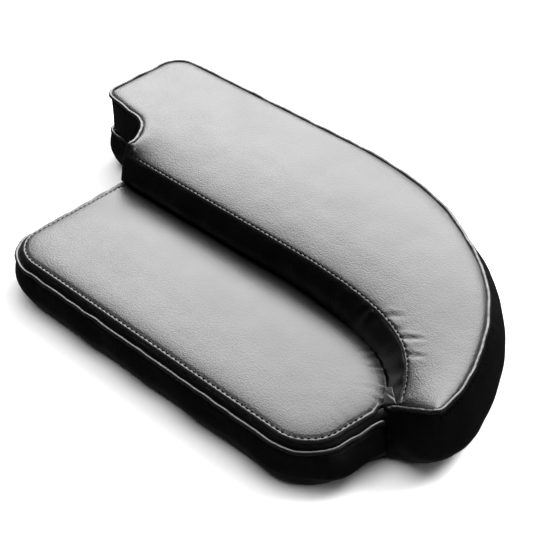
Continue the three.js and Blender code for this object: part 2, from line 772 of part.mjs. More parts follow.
// A small gusset closes the corner where the facing, the pad and the tip meet. Its outline is
// in the plane of the facing's end: along it from the foot, and up.
const GUSSET = [
  [0, 40],
  [6, 40],
  [7, 45],
  [11, 51],
  [0, 44],
];
const FACING_END_TURN = Math.atan2(-5, 15);
const gusset = new THREE.Shape(GUSSET.map(([x, z]) => new THREE.Vector2(x, z)));
add(
  "corner_gusset",
  new THREE.ExtrudeGeometry(gusset, { depth: LEATHER, bevelEnabled: false })
    .rotateX(Math.PI / 2)
    .rotateZ(FACING_END_TURN)
    .translate(175.6, -59.2, 0),
  leather,
);

// Height of the upper piping at a station: it falls where it comes round to the pad
function upperPipingTop(station) {
  const p = planPoint(station, 0);
  const edge = edgeTop(p);
  return station > START.recess ? lerp(BOLSTER_SEAM_TOP + 8, edge, smooth(p.y, 12, 30)) : edge;
}

// The short band above the base, round the left end and the recess
function leftEndBand() {
  const stations = [CORNER_SEAM + SEAM_ROOM, ...run(START.backLeft + 1, END.recess - 1)];
  return skin(
    stations.map((station) => {
      const low = BASE_TOP + PIPING_R + GAP;
      const high = upperPipingTop(station) - PIPING_R - GAP;
      const middle = lerp(low, high, 0.5);
      return [
        at(station, 0.4, low),
        at(station, -1, middle),
        at(station, 0.4, high),
        at(station, 0.4 + LEATHER, high),
        at(station, -1 + LEATHER, middle),
        at(station, 0.4 + LEATHER, low),
      ];
    }),
  );
}
add("left_end_band", leftEndBand(), leather);

// Piped seams: a cord wrapped in a strip of cover material
const PIPING_INSET = 1;
const basePath = spaced(
  [CORNER_SEAM + 0.15, ...run(START.backLeft + 1, START.notch)].map((station) =>
    at(station, PIPING_INSET, BASE_TOP),
  ),
  60,
);
const upperPath = [NOTCH_SEAM + 0.3, ...run(START.notch + 2, END.recess)].map((station) =>
  at(station, PIPING_INSET, upperPipingTop(station)),
);
const DOWN_TO_PAD = [
  [5, 68],
  [1.5, 61],
  [-1, 52],
  [-2.5, 45],
];
const downPath = DOWN_TO_PAD.map(([y, z]) => new THREE.Vector3(PAD_LEFT + PIPING_INSET, y, z));
const pipedSeams = { base: basePath, bolster: spaced([...upperPath, ...downPath], 60) };
for (const [name, path] of Object.entries(pipedSeams)) {
  add(`${name}_piping`, tube(path, PIPING_R, CORD_R + GAP), piping);
  add(`${name}_piping_cord`, tube(path, CORD_R), cordCore);
}

// The origin is at the middle of the underside
const box = new THREE.Box3().setFromObject(assembly);
const middle = box.getCenter(new THREE.Vector3());
assembly.position.set(-middle.x, -middle.y, -box.min.z);

export default root;
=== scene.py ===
# Padded headrest attachment for an office chair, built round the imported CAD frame.
# Plan coordinates are millimetres, with X along the pad's front edge, Y towards the bolster's
# back and Z up. to_frame() turns them into the frame's metres.
import math

import bmesh
import bpy
import numpy as np
from mathutils import Matrix, Vector
from mathutils.geometry import delaunay_2d_cdt
from mathutils.kdtree import KDTree
from numpy.linalg import norm


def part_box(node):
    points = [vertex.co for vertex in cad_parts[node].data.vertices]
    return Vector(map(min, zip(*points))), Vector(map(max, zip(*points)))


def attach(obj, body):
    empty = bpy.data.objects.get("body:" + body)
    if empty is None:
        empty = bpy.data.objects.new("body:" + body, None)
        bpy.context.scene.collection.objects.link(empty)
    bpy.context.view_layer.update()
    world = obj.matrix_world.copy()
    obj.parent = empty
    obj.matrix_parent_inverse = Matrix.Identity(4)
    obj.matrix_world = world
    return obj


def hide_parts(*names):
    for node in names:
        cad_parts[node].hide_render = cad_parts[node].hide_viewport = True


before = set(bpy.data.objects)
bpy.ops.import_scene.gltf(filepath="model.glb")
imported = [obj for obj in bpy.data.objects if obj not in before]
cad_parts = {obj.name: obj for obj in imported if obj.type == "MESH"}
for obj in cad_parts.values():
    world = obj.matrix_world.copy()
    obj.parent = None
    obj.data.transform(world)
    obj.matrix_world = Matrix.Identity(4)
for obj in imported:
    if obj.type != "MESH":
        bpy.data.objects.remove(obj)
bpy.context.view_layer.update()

MM = 0.001
scene = bpy.context.scene
t_nut_boxes = [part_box(f"t_nut_{i}") for i in range(1, 5)]
CENTRE = sum((low + high for low, high in t_nut_boxes), Vector()) / 8
SHIFT = np.array([CENTRE.x, CENTRE.y, 0.0])

# ---- The plan, as in the CAD: a polygon with rounded corners ----
PAD_LEFT, PAD_FRONT, BACK = -150.0, -133.5, 132.0
BASE_TOP, PAD_SEAM_TOP = 38.0, 43.0
BOLSTER_SEAM_TOP, EDGE_TOP, NOSE_TOP, NOTCH_TOP = 65.0, 75.5, 71.0, 50.0
SEAM_TOP_AT_TIP = 57.0
PIPING_R, CORD_R, PITCH = 1.8, 1.0, 4.6
ELLIPSE = 0.5523
CORNERS = [
    ("front_left", PAD_LEFT, PAD_FRONT, 32, 38, ELLIPSE),
    ("front_right", 175, PAD_FRONT, 33, 33, ELLIPSE),
    ("notch", 185, -64.5, 6, 6, ELLIPSE),
    ("nose", 225, -64.5, 7, 7, ELLIPSE),
    ("shoulder", 223.5, BACK, 190, 235, 0.585),
    ("back_left", -223, BACK, 22, 22, ELLIPSE),
    ("tongue", -223, 43, 10, 10, ELLIPSE),
    ("recess", PAD_LEFT, 33, 24, 27, ELLIPSE),
]
# At the bottom the tip is drawn in and rounder, and the notch beside it is shallow
LOW_TIP = [("notch", 187, -66, 16, 13, ELLIPSE), ("nose", 222, -56, 24, 20, ELLIPSE)]
LOW_CORNERS = CORNERS[:2] + LOW_TIP + CORNERS[4:]
STATION_STEP = 1.6
INSETS = np.arange(-14.0, 30.01, 1.0)


def cross2(a, b):
    return a[0] * b[1] - a[1] * b[0]


def unit(vectors):
    return vectors / np.maximum(norm(vectors, axis=1), 1e-9)[:, None]


def heading(line):
    return unit(np.gradient(line, axis=0))


def left_of(ahead):
    """Level vectors to the left of each direction, as long as its level part."""
    turned = np.zeros_like(ahead)
    turned[:, 0], turned[:, 1] = -ahead[:, 1], ahead[:, 0]
    return turned


def bell(x, centre, width):
    return np.exp(-(((x - centre) / width) ** 2))


def rounded_corners(inset, corners=CORNERS):
    """Per corner: where the curve starts, its corner point, where it ends and how full it is."""
    points = np.array([c[1:3] for c in corners], float)
    edges = unit(np.roll(points, -1, 0) - points)
    starts = points + inset * left_of(edges)
    places = []
    for i, corner in enumerate(corners):
        arriving, leaving = edges[i - 1], edges[i]
        turn = cross2(arriving, leaving)
        reach = cross2(starts[i] - starts[i - 1], leaving) / turn
        point = starts[i - 1] + arriving * reach
        half = math.tan(math.asin(max(-1.0, min(1.0, turn))) / 2)
        before = max(corner[3] - inset * half, 0.6)
        after = max(corner[4] - inset * half, 0.6)
        places.append([point, arriving, leaving, before, after, corner[5]])
    rounded = []
    for i, (point, arriving, leaving, before, after, full) in enumerate(places):
        previous = places[i - 1]
        room = norm(point - previous[0]) - previous[4] - 1
        start = point - arriving * min(before, room)
        rounded.append((start, point, point + leaving * after, full))
    return rounded


TURNS, RUNS = [], []
START, END = {}, {}
STATIONS = 0
ROUNDED = rounded_corners(0.0)
for corner, (start, point, end, _), following in zip(CORNERS, ROUNDED, ROUNDED[1:] + ROUNDED[:1]):
    length = norm(point - start) + norm(end - point)
    TURNS.append(max(8, math.ceil(length * 0.85 / STATION_STEP)))
    RUNS.append(max(2, math.ceil(norm(following[0] - end) / STATION_STEP)))
    START[corner[0]] = STATIONS
    END[corner[0]] = STATIONS + TURNS[-1]
    STATIONS += TURNS[-1] + RUNS[-1]


def bezier(corners, n=160):
    t = np.linspace(0, 1, n)[:, None]
    a, b, c, d = (np.array(q, float) for q in corners)
    return (1 - t) ** 3 * a + 3 * (1 - t) ** 2 * t * b + 3 * (1 - t) * t**2 * c + t**3 * d


def outline(inset, corners=CORNERS):
    rounded = rounded_corners(inset, corners)
    parts = []
    for i, (start, point, end, full) in enumerate(rounded):
        handles = start + (point - start) * full, end + (point - end) * full
        parts.append(bezier([start, *handles, end], TURNS[i] + 1))
        following = rounded[(i + 1) % len(rounded)][0]
        share = np.arange(1, RUNS[i])[:, None] / RUNS[i]
        parts.append(end + (following - end) * share)
    return np.concatenate(parts)


def softened(loop, reach):
    """A closed loop of points, averaged along itself."""
    offsets = np.arange(-3 * reach, 3 * reach + 1)
    weights = np.exp(-((offsets / reach) ** 2))
    total = sum(w * np.roll(loop, o, axis=0) for o, w in zip(offsets, weights))
    return total / weights.sum()


SHARP = np.stack([outline(i) for i in INSETS])
SOFT = np.stack([softened(outline(i, LOW_CORNERS), 2) for i in INSETS])


def look_up(table, u, inset):
    k = np.clip((inset - INSETS[0]) / (INSETS[1] - INSETS[0]), 0, len(INSETS) - 1.001)
    low = k.astype(int)
    here = np.floor(u).astype(int) % STATIONS
    following = (here + 1) % STATIONS
    part = (u - np.floor(u))[..., None]
    inner = lerp(table[low, here], table[low, following], part)
    outer = lerp(table[low + 1, here], table[low + 1, following], part)
    return lerp(inner, outer, (k - low)[..., None])


def plan(u, inset, soft=0.0):
    """Plan points at stations u, moved inwards by inset; soft 1 gives the bottom's outline."""
    u, inset, soft = (a.astype(float) for a in np.broadcast_arrays(u, inset, soft))
    sharp = look_up(SHARP, u, inset)
    if not soft.any():
        return sharp
    return sharp + (look_up(SOFT, u, inset) - sharp) * soft[..., None]


def smooth(x, a, b):
    t = np.clip((np.asarray(x, float) - a) / (b - a), 0, 1)
    return t * t * (3 - 2 * t)


def lerp(a, b, t):
    return a + (b - a) * t


NOTCH_SEAM = (START["notch"] + END["notch"]) / 2
CORNER_SEAM = START["back_left"] + 4.0


def edge_top(p):
    """Height of the bolster's piping over a plan point."""
    x, y = p[..., 0], p[..., 1]
    front = lerp(NOTCH_TOP, NOSE_TOP, np.clip((x - 185) / 37, 0, 1))
    tip = np.where((y < -40) & (x < 222), front, NOSE_TOP)
    return lerp(tip, EDGE_TOP, smooth(y, -60, 70))


def drawn_in(u):
    """How far the cover pulls the bolster's edge inwards: most along the right."""
    p = plan(u, 0)
    x, y = p[..., 0], p[..., 1]
    right = smooth(x, 60, 150) * (1 - smooth(y, 95, 128))
    left = 1 - smooth(x, -222, -196)
    return right * lerp(0.0, 3.4, smooth(y, -48, 20)) + 1.6 * left


def upper_piping_top(u):
    p = plan(u, 0)
    edge = edge_top(p)
    down = lerp(BOLSTER_SEAM_TOP + 8, edge, smooth(p[..., 1], 12, 30))
    return np.where(np.asarray(u) > START["recess"], down, edge)


def lengths_of(line):
    steps = norm(np.diff(line, axis=0), axis=1)
    return np.concatenate([[0.0], np.cumsum(steps)])


def at_lengths(wanted, far, line):
    return np.stack([np.interp(wanted, far, column) for column in line.T], 1)


def resample(line, step=None, count=None):
    line = np.asarray(line, float)
    far = lengths_of(line)
    n = count or max(2, int(round(far[-1] / step)) + 1)
    return at_lengths(np.linspace(0, far[-1], n), far, line)


def closed_loop(loop):
    return np.concatenate([loop, loop[:1]])


def loop_edges(count, start=0):
    return [(start + i, start + (i + 1) % count) for i in range(count)]


def triangulated(points, edges, mode=1):
    """Plan points and triangles inside a closed outline of edges (mode 2 also keeps its holes)."""
    made = delaunay_2d_cdt([Vector(p) for p in points], edges, [], mode, 1e-5)
    return np.array([tuple(v) for v in made[0]]), [tuple(f) for f in made[2]]


# The bolster's inner seam and the foot of its inner face, left to right
SEAM_Y, FOOT_Y, CURL_FROM = 1.5, -2.0, 20.0
RAIL_LEFT = PAD_LEFT + 2.3
seam_curl = bezier([(CURL_FROM, SEAM_Y), (132, SEAM_Y), (171, -14), (191, -61.4)])
foot_curl = bezier([(CURL_FROM, FOOT_Y), (104, FOOT_Y), (161, -22), (176, -57)])
SEAM_LINE = np.vstack([[[RAIL_LEFT, SEAM_Y]], seam_curl])
FOOT_LINE = np.vstack([[[RAIL_LEFT, FOOT_Y]], foot_curl])


def seam_top(p):
    return lerp(SEAM_TOP_AT_TIP, BOLSTER_SEAM_TOP, smooth(p[..., 1], -62, -20))


# ---- Uneven hand-made detail: sums of seeded waves ----
def waves(seed, short, long, count=7):
    """A function of one length in mm, about 1 in size, with wavelengths from short to long."""
    rng = np.random.RandomState(seed)
    sizes = np.exp(rng.uniform(math.log(short), math.log(long), count))
    phases = rng.uniform(0, 2 * math.pi, count)
    strengths = rng.uniform(0.5, 1.0, count)
    strengths /= math.sqrt((strengths**2).sum() / 2)

    def value(s):
        s = np.asarray(s, float)
        turns = 2 * math.pi * s[..., None] / sizes + phases
        return (np.sin(turns) * strengths).sum(-1) / 1.4

    return value


def waves_2d(seed, short, long, count=12):
    rng = np.random.RandomState(seed)
    sizes = np.exp(rng.uniform(math.log(short), math.log(long), count))
    angles = rng.uniform(0, math.pi, count)
    phases = rng.uniform(0, 2 * math.pi, count)

    def value(x, y):
        along = x[..., None] * np.cos(angles) + y[..., None] * np.sin(angles)
        total = np.sin(2 * math.pi * along / sizes + phases).sum(-1)
        return total / math.sqrt(count / 2) / 1.4

    return value


# ---- Meshes ----
def to_frame(points):
    return np.asarray(points, float) * MM + SHIFT


def piece(name, points, faces, material, slot):
    mesh = bpy.data.meshes.new(name)
    mesh.from_pydata(to_frame(points).tolist(), [], [tuple(int(i) for i in f) for f in faces])
    mesh.validate()
    bm = bmesh.new()
    bm.from_mesh(mesh)
    bmesh.ops.recalc_face_normals(bm, faces=bm.faces)
    if bm.calc_volume(signed=True) < 0:
        bmesh.ops.reverse_faces(bm, faces=bm.faces)
    bm.to_mesh(mesh)
    bm.free()
    mesh.polygons.foreach_set("use_smooth", [True] * len(mesh.polygons))
    mesh.materials.append(material)
    made = bpy.data.objects.new(name, mesh)
    scene.collection.objects.link(made)
    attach(made, "root")
    return made


def rim_edges(faces):
    """The edges that belong to one face only."""
    used = dict.fromkeys(edge for f in faces for edge in zip(f, f[1:] + f[:1]))
    return [(a, b) for a, b in used if (b, a) not in used]


def rim_faces(faces, count):
    """Quads from the rim of a surface to its copy, count points further on."""
    return [(b, a, a + count, b + count) for a, b in rim_edges(faces)]


def grid_faces(rows, columns, offset=0):
    corners = [offset + i * columns + j for i in range(rows - 1) for j in range(columns - 1)]
    return [(a, a + columns, a + columns + 1, a + 1) for a in corners]


def shell(outer, inner):
    """A closed shell from two grids of points of one size."""
    rows, columns = outer.shape[:2]
    count = rows * columns
    points = np.concatenate([outer.reshape(-1, 3), inner.reshape(-1, 3)])
    front = grid_faces(rows, columns)
    back = [f[::-1] for f in grid_faces(rows, columns, count)]
    return points, front + back + rim_faces(front, count)


def ring_points(path, side, up, size, sides):
    """Points of a round section at each point of a line."""
    angle = np.linspace(0, 2 * math.pi, sides, endpoint=False)
    ring = np.cos(angle)[None, :, None] * side[:, None] + np.sin(angle)[None, :, None] * up[:, None]
    return (path[:, None] + ring * size[:, None, None]).reshape(-1, 3)


def band_faces(rows, count, base=0):
    """Quads between closed rows of points."""
    lows = range(base, base + (rows - 1) * count, count)
    pairs = loop_edges(count)
    return [(a + i, a + k, a + count + k, a + count + i) for a in lows for i, k in pairs]


def tube_faces(rows, sides, base=0):
    last = base + (rows - 1) * sides
    ends = [tuple(range(base, base + sides))[::-1], tuple(range(last, last + sides))]
    return band_faces(rows, sides, base) + ends


def tube(path, radius, sides=14, taper=2.0):
    """A closed tube along a line, with rounded ends."""
    path = np.asarray(path, float)
    far = lengths_of(path)
    ahead = heading(path)
    side = unit(left_of(ahead))
    up = np.cross(ahead, side)
    ends = np.clip(end_distance(far) / taper, 0, 1)
    size = np.broadcast_to(radius, (len(path),)) * np.sqrt(np.clip(1 - (1 - ends) ** 2, 0.01, 1))
    return ring_points(path, side, up, size, sides), tube_faces(len(path), sides)


def stitches(path, normals, length=2.5, radius=0.5, lift=0.0):
    """Thread showing on the surface: one short arched capsule per stitch."""
    far = lengths_of(path)
    points, faces = [], []
    sides = 6
    across_share = np.array([-0.5, -0.42, -0.2, 0.2, 0.42, 0.5])
    rise = np.array([-0.45, -0.12, 0.12, 0.12, -0.12, -0.45]) + lift
    width = np.array([0.35, 0.85, 1.0, 1.0, 0.85, 0.35]) * radius
    for k in range(int(far[-1] / PITCH)):
        where = (k + 0.5) * PITCH + across_share * length
        centre = at_lengths(where, far, path)
        up = unit(at_lengths(where, far, normals))
        side = unit(np.cross(up, centre[-1] - centre[0]))
        faces += tube_faces(len(where), sides, len(points) * len(where) * sides)
        points.append(ring_points(centre + up * rise[:, None], side, up, width, sides))
    return np.concatenate(points), faces


# ---- Cushion covers: a height field over a region, drawn taut between its seams ----
def tree_of(points):
    tree = KDTree(len(points))
    for i, p in enumerate(points):
        tree.insert((p[0], p[1], 0.0), i)
    tree.balance()
    return tree


class Cover:
    """Heights over a region whose boundary carries, per point, the height that the filled
    surface would reach there (slow), how far the seam pulls it down (pull) and over what
    width (width)."""

    def __init__(self, loop, slow, pull, width, crest, reach, cell=2.0):
        self.loop = np.asarray(loop, float)
        self.far = lengths_of(closed_loop(self.loop))
        self.along = np.arange(0, self.far[-1], 0.4)
        dense = at_lengths(self.along, self.far, closed_loop(self.loop))
        self.slow, self.pull, self.width = self.spread(slow), self.spread(pull), self.spread(width)
        self.tree = tree_of(dense)
        low, high = self.loop.min(0) - 3 * cell, self.loop.max(0) + 3 * cell
        self.low, self.cell = low, cell
        xs = np.arange(low[0], high[0], cell)
        ys = np.arange(low[1], high[1], cell)
        gx, gy = np.meshgrid(xs, ys, indexing="ij")
        points = np.stack([gx.ravel(), gy.ravel()], 1)
        nearest, distance = self.nearest(points)
        free = self.inside(points) & (distance > 0.8)
        shape = gx.shape
        z = self.slow[nearest].reshape(shape)
        free = free.reshape(shape)
        target = crest(gx, gy)
        kappa = (cell / reach(gx, gy)) ** 2
        near = np.exp(-distance.reshape(shape) / reach(gx, gy))
        z = np.where(free, target + (z - target) * near, z)
        red = (np.add.outer(np.arange(shape[0]), np.arange(shape[1])) % 2) == 0
        for _ in range(320):
            for mask in (free & red, free & ~red):
                around = np.roll(z, 1, 0) + np.roll(z, -1, 0) + np.roll(z, 1, 1) + np.roll(z, -1, 1)
                relaxed = (around + kappa * target) / (4 + kappa)
                z = np.where(mask, z + 1.7 * (relaxed - z), z)
        self.field = z

    def spread(self, values):
        """Values given at the boundary's points, at the closer points of self.along."""
        return np.interp(self.along, self.far, closed_loop(values))

    def nearest(self, points):
        found = [self.tree.find((p[0], p[1], 0.0)) for p in points]
        return np.array([f[1] for f in found]), np.array([f[2] for f in found])

    def inside(self, points):
        x, y = points[:, 0], points[:, 1]
        result = np.zeros(len(points), bool)
        for a, b in zip(self.loop, np.roll(self.loop, -1, axis=0)):
            if a[1] == b[1]:
                continue
            crosses = (a[1] > y) != (b[1] > y)
            result ^= crosses & (x < (b[0] - a[0]) * (y - a[1]) / (b[1] - a[1]) + a[0])
        return result

    def height(self, points):
        """Heights at plan points, with their distance from the boundary and place along it."""
        points = np.asarray(points, float)
        k = (points - self.low) / self.cell
        whole = np.clip(np.floor(k).astype(int), 0, np.array(self.field.shape) - 2)
        (i, j), (f, g) = whole.T, (k - whole).T
        near = lerp(self.field[i, j], self.field[i + 1, j], f)
        z = lerp(near, lerp(self.field[i, j + 1], self.field[i + 1, j + 1], f), g)
        nearest, distance = self.nearest(points)
        z = z - self.pull[nearest] * np.exp(-distance / self.width[nearest])
        return z, distance, nearest

    def mesh(self, offsets, spacing, fine=None, fine_spacing=1.25):
        """Plan points and triangles: loops along the boundary, then an even interior."""
        boundary = resample(closed_loop(self.loop), step=1.2)[:-1]
        inward = inward_of(boundary)
        points = [boundary]
        for offset in offsets:
            loop = boundary + inward * offset
            if offset > 3:
                loop = loop[::2]
            _, distance = self.nearest(loop)
            points.append(loop[(distance > 0.93 * offset) & self.inside(loop)])
        rows = []
        for size, wanted in ((spacing, False), (fine_spacing, True)):
            if wanted and fine is None:
                continue
            low, high = self.loop.min(0), self.loop.max(0)
            ys = np.arange(low[1], high[1], size * math.sqrt(0.75))
            for j, y in enumerate(ys):
                xs = np.arange(low[0] + (j % 2) * size / 2, high[0], size)
                row = np.stack([xs, np.full(len(xs), y)], 1)
                if fine is not None:
                    row = row[fine(row[:, 0], row[:, 1]) == wanted]
                rows.append(row)
        interior = np.concatenate(rows)
        interior = interior[self.inside(interior)]
        _, distance = self.nearest(interior)
        points.append(interior[distance > offsets[-1] + 0.6])
        return triangulated(np.concatenate(points), loop_edges(len(boundary)))


def wound(points, faces, way):
    """Plan triangles wound anticlockwise (way 1) or clockwise (way -1)."""

    def area(f):
        return cross2(points[f[1]] - points[f[0]], points[f[2]] - points[f[0]])

    return [f if way * area(f) > 0 else f[::-1] for f in faces]


def boundary_order(faces):
    """The edges that belong to one face only, as a loop of points in order."""
    following = dict(rim_edges(faces))
    start = next(iter(following))
    loop = [start]
    while following[loop[-1]] != start:
        loop.append(following[loop[-1]])
    return loop


CUSHION_LOW = 34.8


def closed_cushion(name, plan_points, faces, heights):
    """The cover, sides straight down inside the side panels, and a flat underside."""
    faces = wound(plan_points, faces, 1)
    loop = boundary_order(faces)
    top = np.column_stack([plan_points, heights])
    ring = top[loop]
    inwards = ring[:, :2] + inward_of(ring[:, :2]) * 0.8
    drops = [lerp(ring[:, 2], CUSHION_LOW, drop) for drop in (0.5, 0.75, 1.0)]
    points = np.concatenate([top] + [np.column_stack([inwards, z]) for z in drops])
    count, base = len(loop), len(top)
    faces += [(loop[k], loop[i], base + i, base + k) for i, k in loop_edges(count)]
    faces += [f[::-1] for f in band_faces(len(drops), count, base)]
    last = len(points) - count
    flat, under = triangulated(inwards, loop_edges(count))
    if len(flat) != count:
        under = [tuple(range(count))]
    faces += [tuple(last + i for i in f)[::-1] for f in under]
    return piece(name, points, faces, cover_leather, "cover_leather")


def inward_of(loop):
    return left_of(unit(np.roll(loop, -1, 0) - np.roll(loop, 1, 0)))


def fold(distance, height, at, depth, wide):
    """A lapped edge: a rounded lip at the boundary, and the dip where the topstitch pulls."""
    lip = height * (1 - np.exp(-((distance / 0.5) ** 1.4)))
    return lip - height - depth * bell(distance, at, wide)


def lapped(distance, along, stitch_at, even, *shape):
    """A fold with a pit at each stitch of its topstitch."""
    stitch = even + (1 - even) * np.cos(2 * math.pi * along / PITCH)
    return fold(distance, *shape) - 0.1 * stitch * bell(distance, stitch_at + 0.05, 0.6)


# ---- Materials ----
class Nodes:
    """Small helper that adds and links shader nodes."""

    def __init__(self, name):
        self.material = bpy.data.materials.new(name)
        self.material.use_nodes = True
        self.tree = self.material.node_tree
        self.shader = self.tree.nodes["Principled BSDF"]
        self.place = self.add("TexCoord").outputs["Object"]

    def add(self, kind, inputs=None, **settings):
        node = self.tree.nodes.new("ShaderNode" + kind)
        for key, value in settings.items():
            setattr(node, key, value)
        for key, value in (inputs or {}).items():
            self.set(node.inputs[key], value)
        return node

    def set(self, socket, value):
        if isinstance(value, bpy.types.NodeSocket):
            self.tree.links.new(value, socket)
        else:
            socket.default_value = (*value, 1.0) if socket.type == "RGBA" else value

    def noise(self, scale, detail=3.0, roughness=0.5, stretch=None):
        place = self.place
        if stretch is not None:
            place = self.add("Mapping", {"Vector": self.place, "Scale": stretch}).outputs[0]
        inputs = {"Vector": place, "Scale": scale, "Detail": detail, "Roughness": roughness}
        return self.add("TexNoise", inputs).outputs[0]

    def ranged(self, value, low, high, start=0.3, end=0.7):
        inputs = {"Value": value, "From Min": start, "From Max": end, "To Min": low, "To Max": high}
        return self.add("MapRange", inputs).outputs[0]

    def mixed(self, value, a, b, start=0.3, end=0.7, low=0.0, high=1.0):
        """Colour a, with the share of b going from low to high as the value passes start to end."""
        share = self.ranged(value, low, high, start, end)
        return self.add("Mix", {0: share, 6: a, 7: b}, data_type="RGBA").outputs[2]

    def weighted(self, a, share_a, b, share_b):
        first = self.add("Math", {0: a, 1: share_a}, operation="MULTIPLY").outputs[0]
        second = self.add("Math", {0: b, 1: share_b}, operation="MULTIPLY").outputs[0]
        return self.add("Math", {0: first, 1: second}, operation="ADD").outputs[0]

    def bump(self, height, distance, strength=1.0, before=None):
        node = self.add("Bump", {"Height": height, "Distance": distance, "Strength": strength})
        if before is not None:
            self.set(node.inputs["Normal"], before)
        return node.outputs[0]

    def finish(self, colour, rough, values):
        for key, value in {"Base Color": colour, "Roughness": rough, **values}.items():
            self.set(self.shader.inputs[key], value)
        return self.material


def leather(name, dark, light, rough, spread, specular, grain=1.0):
    """Coated leather: pebbled grain with fine pores between and painted shade in the creases
    between pebbles, worn a little unevenly.
    """
    n = Nodes(name)
    settings = {"Vector": n.place, "Scale": 760.0, "Smoothness": 0.35}
    cells = n.add("TexVoronoi", settings, feature="SMOOTH_F1").outputs["Distance"]
    pebbles = n.ranged(cells, 1.0, 0.0, 0.05, 0.75)
    pores = n.noise(2300.0, 2.0)
    worn = n.weighted(n.noise(38.0, 4.0), 0.6, n.noise(11.0, 3.0), 0.4)
    colour = n.mixed(worn, dark, light)
    # Painted shade: the creases between pebbles are darker than the leather around them.
    painted_crease_shade = tuple(0.4 * c for c in dark)
    colour = n.mixed(pebbles, colour, painted_crease_shade, 0.0, 0.6, 0.35, 0.0)
    relief = n.bump(n.noise(70.0, 2.0), 0.0007, 0.10)
    relief = n.bump(pebbles, 0.00016 * grain, 0.62, relief)
    relief = n.bump(pores, 0.00005 * grain, 0.5, relief)
    rough = n.ranged(worn, rough - spread, rough + spread)
    return n.finish(colour, rough, {"Normal": relief, "Specular IOR Level": specular})


# Dark and light colour, roughness and its spread, specular, and grain where it's finer. The wall
# and facing leathers are the cover's leather made darker: painted shade on the side panels, border
# strip and inner face, which turn away from the light.
LEATHERS = {
    "cover_leather": ((0.006, 0.006, 0.0062), (0.0115, 0.0113, 0.0115), 0.42, 0.03, 0.55),
    "shaded_wall_leather": ((0.0013, 0.0013, 0.0014), (0.0028, 0.0027, 0.0028), 0.42, 0.07, 0.2),
    "facing_leather": ((0.0015, 0.0015, 0.0016), (0.0032, 0.0031, 0.0032), 0.38, 0.08, 0.24),
    "piping_leather": ((0.005, 0.005, 0.0052), (0.009, 0.009, 0.009), 0.33, 0.05, 0.5, 0.5),
}
cover_leather, shaded_wall_leather, facing_leather, piping_leather = (
    leather(name, *look) for name, look in LEATHERS.items()
)


def thread_material():
    n = Nodes("thread")
    settings = {"Vector": n.place, "Scale": 900.0, "Distortion": 2.0, "Detail": 1.0}
    twist = n.bump(n.add("TexWave", settings).outputs[1], 0.00012, 0.7)
    colour = n.mixed(n.noise(300.0), (0.0015, 0.0015, 0.0015), (0.004, 0.004, 0.004))
    rough = n.ranged(n.noise(500.0), 0.85, 0.97)
    return n.finish(colour, rough, {"Normal": twist, "Specular IOR Level": 0.03})


def foam_material():
    n = Nodes("foam")
    cells = n.add("TexVoronoi", {"Vector": n.place, "Scale": 900.0}).outputs["Distance"]
    colour = n.mixed(n.noise(40.0), (0.62, 0.55, 0.33), (0.74, 0.68, 0.47))
    # Painted shade: the foam's open cells are darker in their pits.
    colour = n.mixed(cells, colour, (0.35, 0.29, 0.14), 0.0, 0.5, 0.5, 0.0)
    rough = n.ranged(n.noise(200.0), 0.88, 0.98)
    return n.finish(colour, rough, {"Normal": n.bump(cells, 0.0004, 0.8)})


def plywood_material():
    n = Nodes("plywood")
    grain = n.noise(14.0, 6.0, 0.65, stretch=(1.0, 14.0, 3.0))
    settings = {"Vector": n.place, "Scale": 9.0, "Distortion": 9.0, "Detail": 3.0}
    growth = n.add("TexWave", settings).outputs[1]
    colour = n.mixed(grain, (0.42, 0.26, 0.12), (0.62, 0.43, 0.22))
    colour = n.mixed(growth, colour, (0.33, 0.19, 0.08), 0.2, 0.9, 0.0, 0.35)
    rough = n.ranged(grain, 0.62, 0.8)
    return n.finish(colour, rough, {"Normal": n.bump(grain, 0.0003, 0.5)})


def metal_material(name, dark, light, low):
    n = Nodes(name)
    spots = n.noise(260.0, 4.0)
    rough = n.ranged(n.noise(90.0), low, low + 0.15)
    relief = n.bump(spots, 0.00008, 0.5)
    return n.finish(n.mixed(spots, dark, light), rough, {"Metallic": 1.0, "Normal": relief})


def cloth_material(name, dark, light, scale=1400.0):
    n = Nodes(name)
    fibres = n.noise(scale, 4.0, 0.7, stretch=(1.0, 0.35, 1.0))
    crossing = n.noise(scale, 4.0, 0.7, stretch=(0.35, 1.0, 1.0))
    felt = n.weighted(fibres, 0.5, crossing, 0.5)
    rough = n.ranged(felt, 0.85, 0.97)
    values = {"Sheen Weight": 0.3, "Normal": n.bump(felt, 0.00025, 0.8)}
    return n.finish(n.mixed(felt, dark, light, 0.4, 0.6), rough, values)


thread = thread_material()
foam = foam_material()
plywood = plywood_material()
zinc = metal_material("zinc_plate", (0.56, 0.57, 0.6), (0.7, 0.7, 0.68), 0.28)
staple_wire = metal_material("staple_wire", (0.5, 0.5, 0.5), (0.66, 0.66, 0.66), 0.3)
cotton = cloth_material("cotton_cord", (0.55, 0.52, 0.44), (0.74, 0.71, 0.63), 900.0)
felt_black = cloth_material("felt_black", (0.012, 0.012, 0.013), (0.035, 0.035, 0.037))

CAD_MATERIALS = {
    "foam": foam, "board": plywood, "t_nut": zinc, "staple": staple_wire, "cord": cotton,
    "dust_cover": felt_black, "piping": piping_leather,
}
for name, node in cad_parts.items():
    matching = [material for word, material in CAD_MATERIALS.items() if word in name]
    chosen = cotton if name.endswith("_cord") else (matching + [cover_leather])[0]
    for material_slot in node.material_slots:
        material_slot.material = chosen

# ---- Side panels ----
PANEL = 1.5
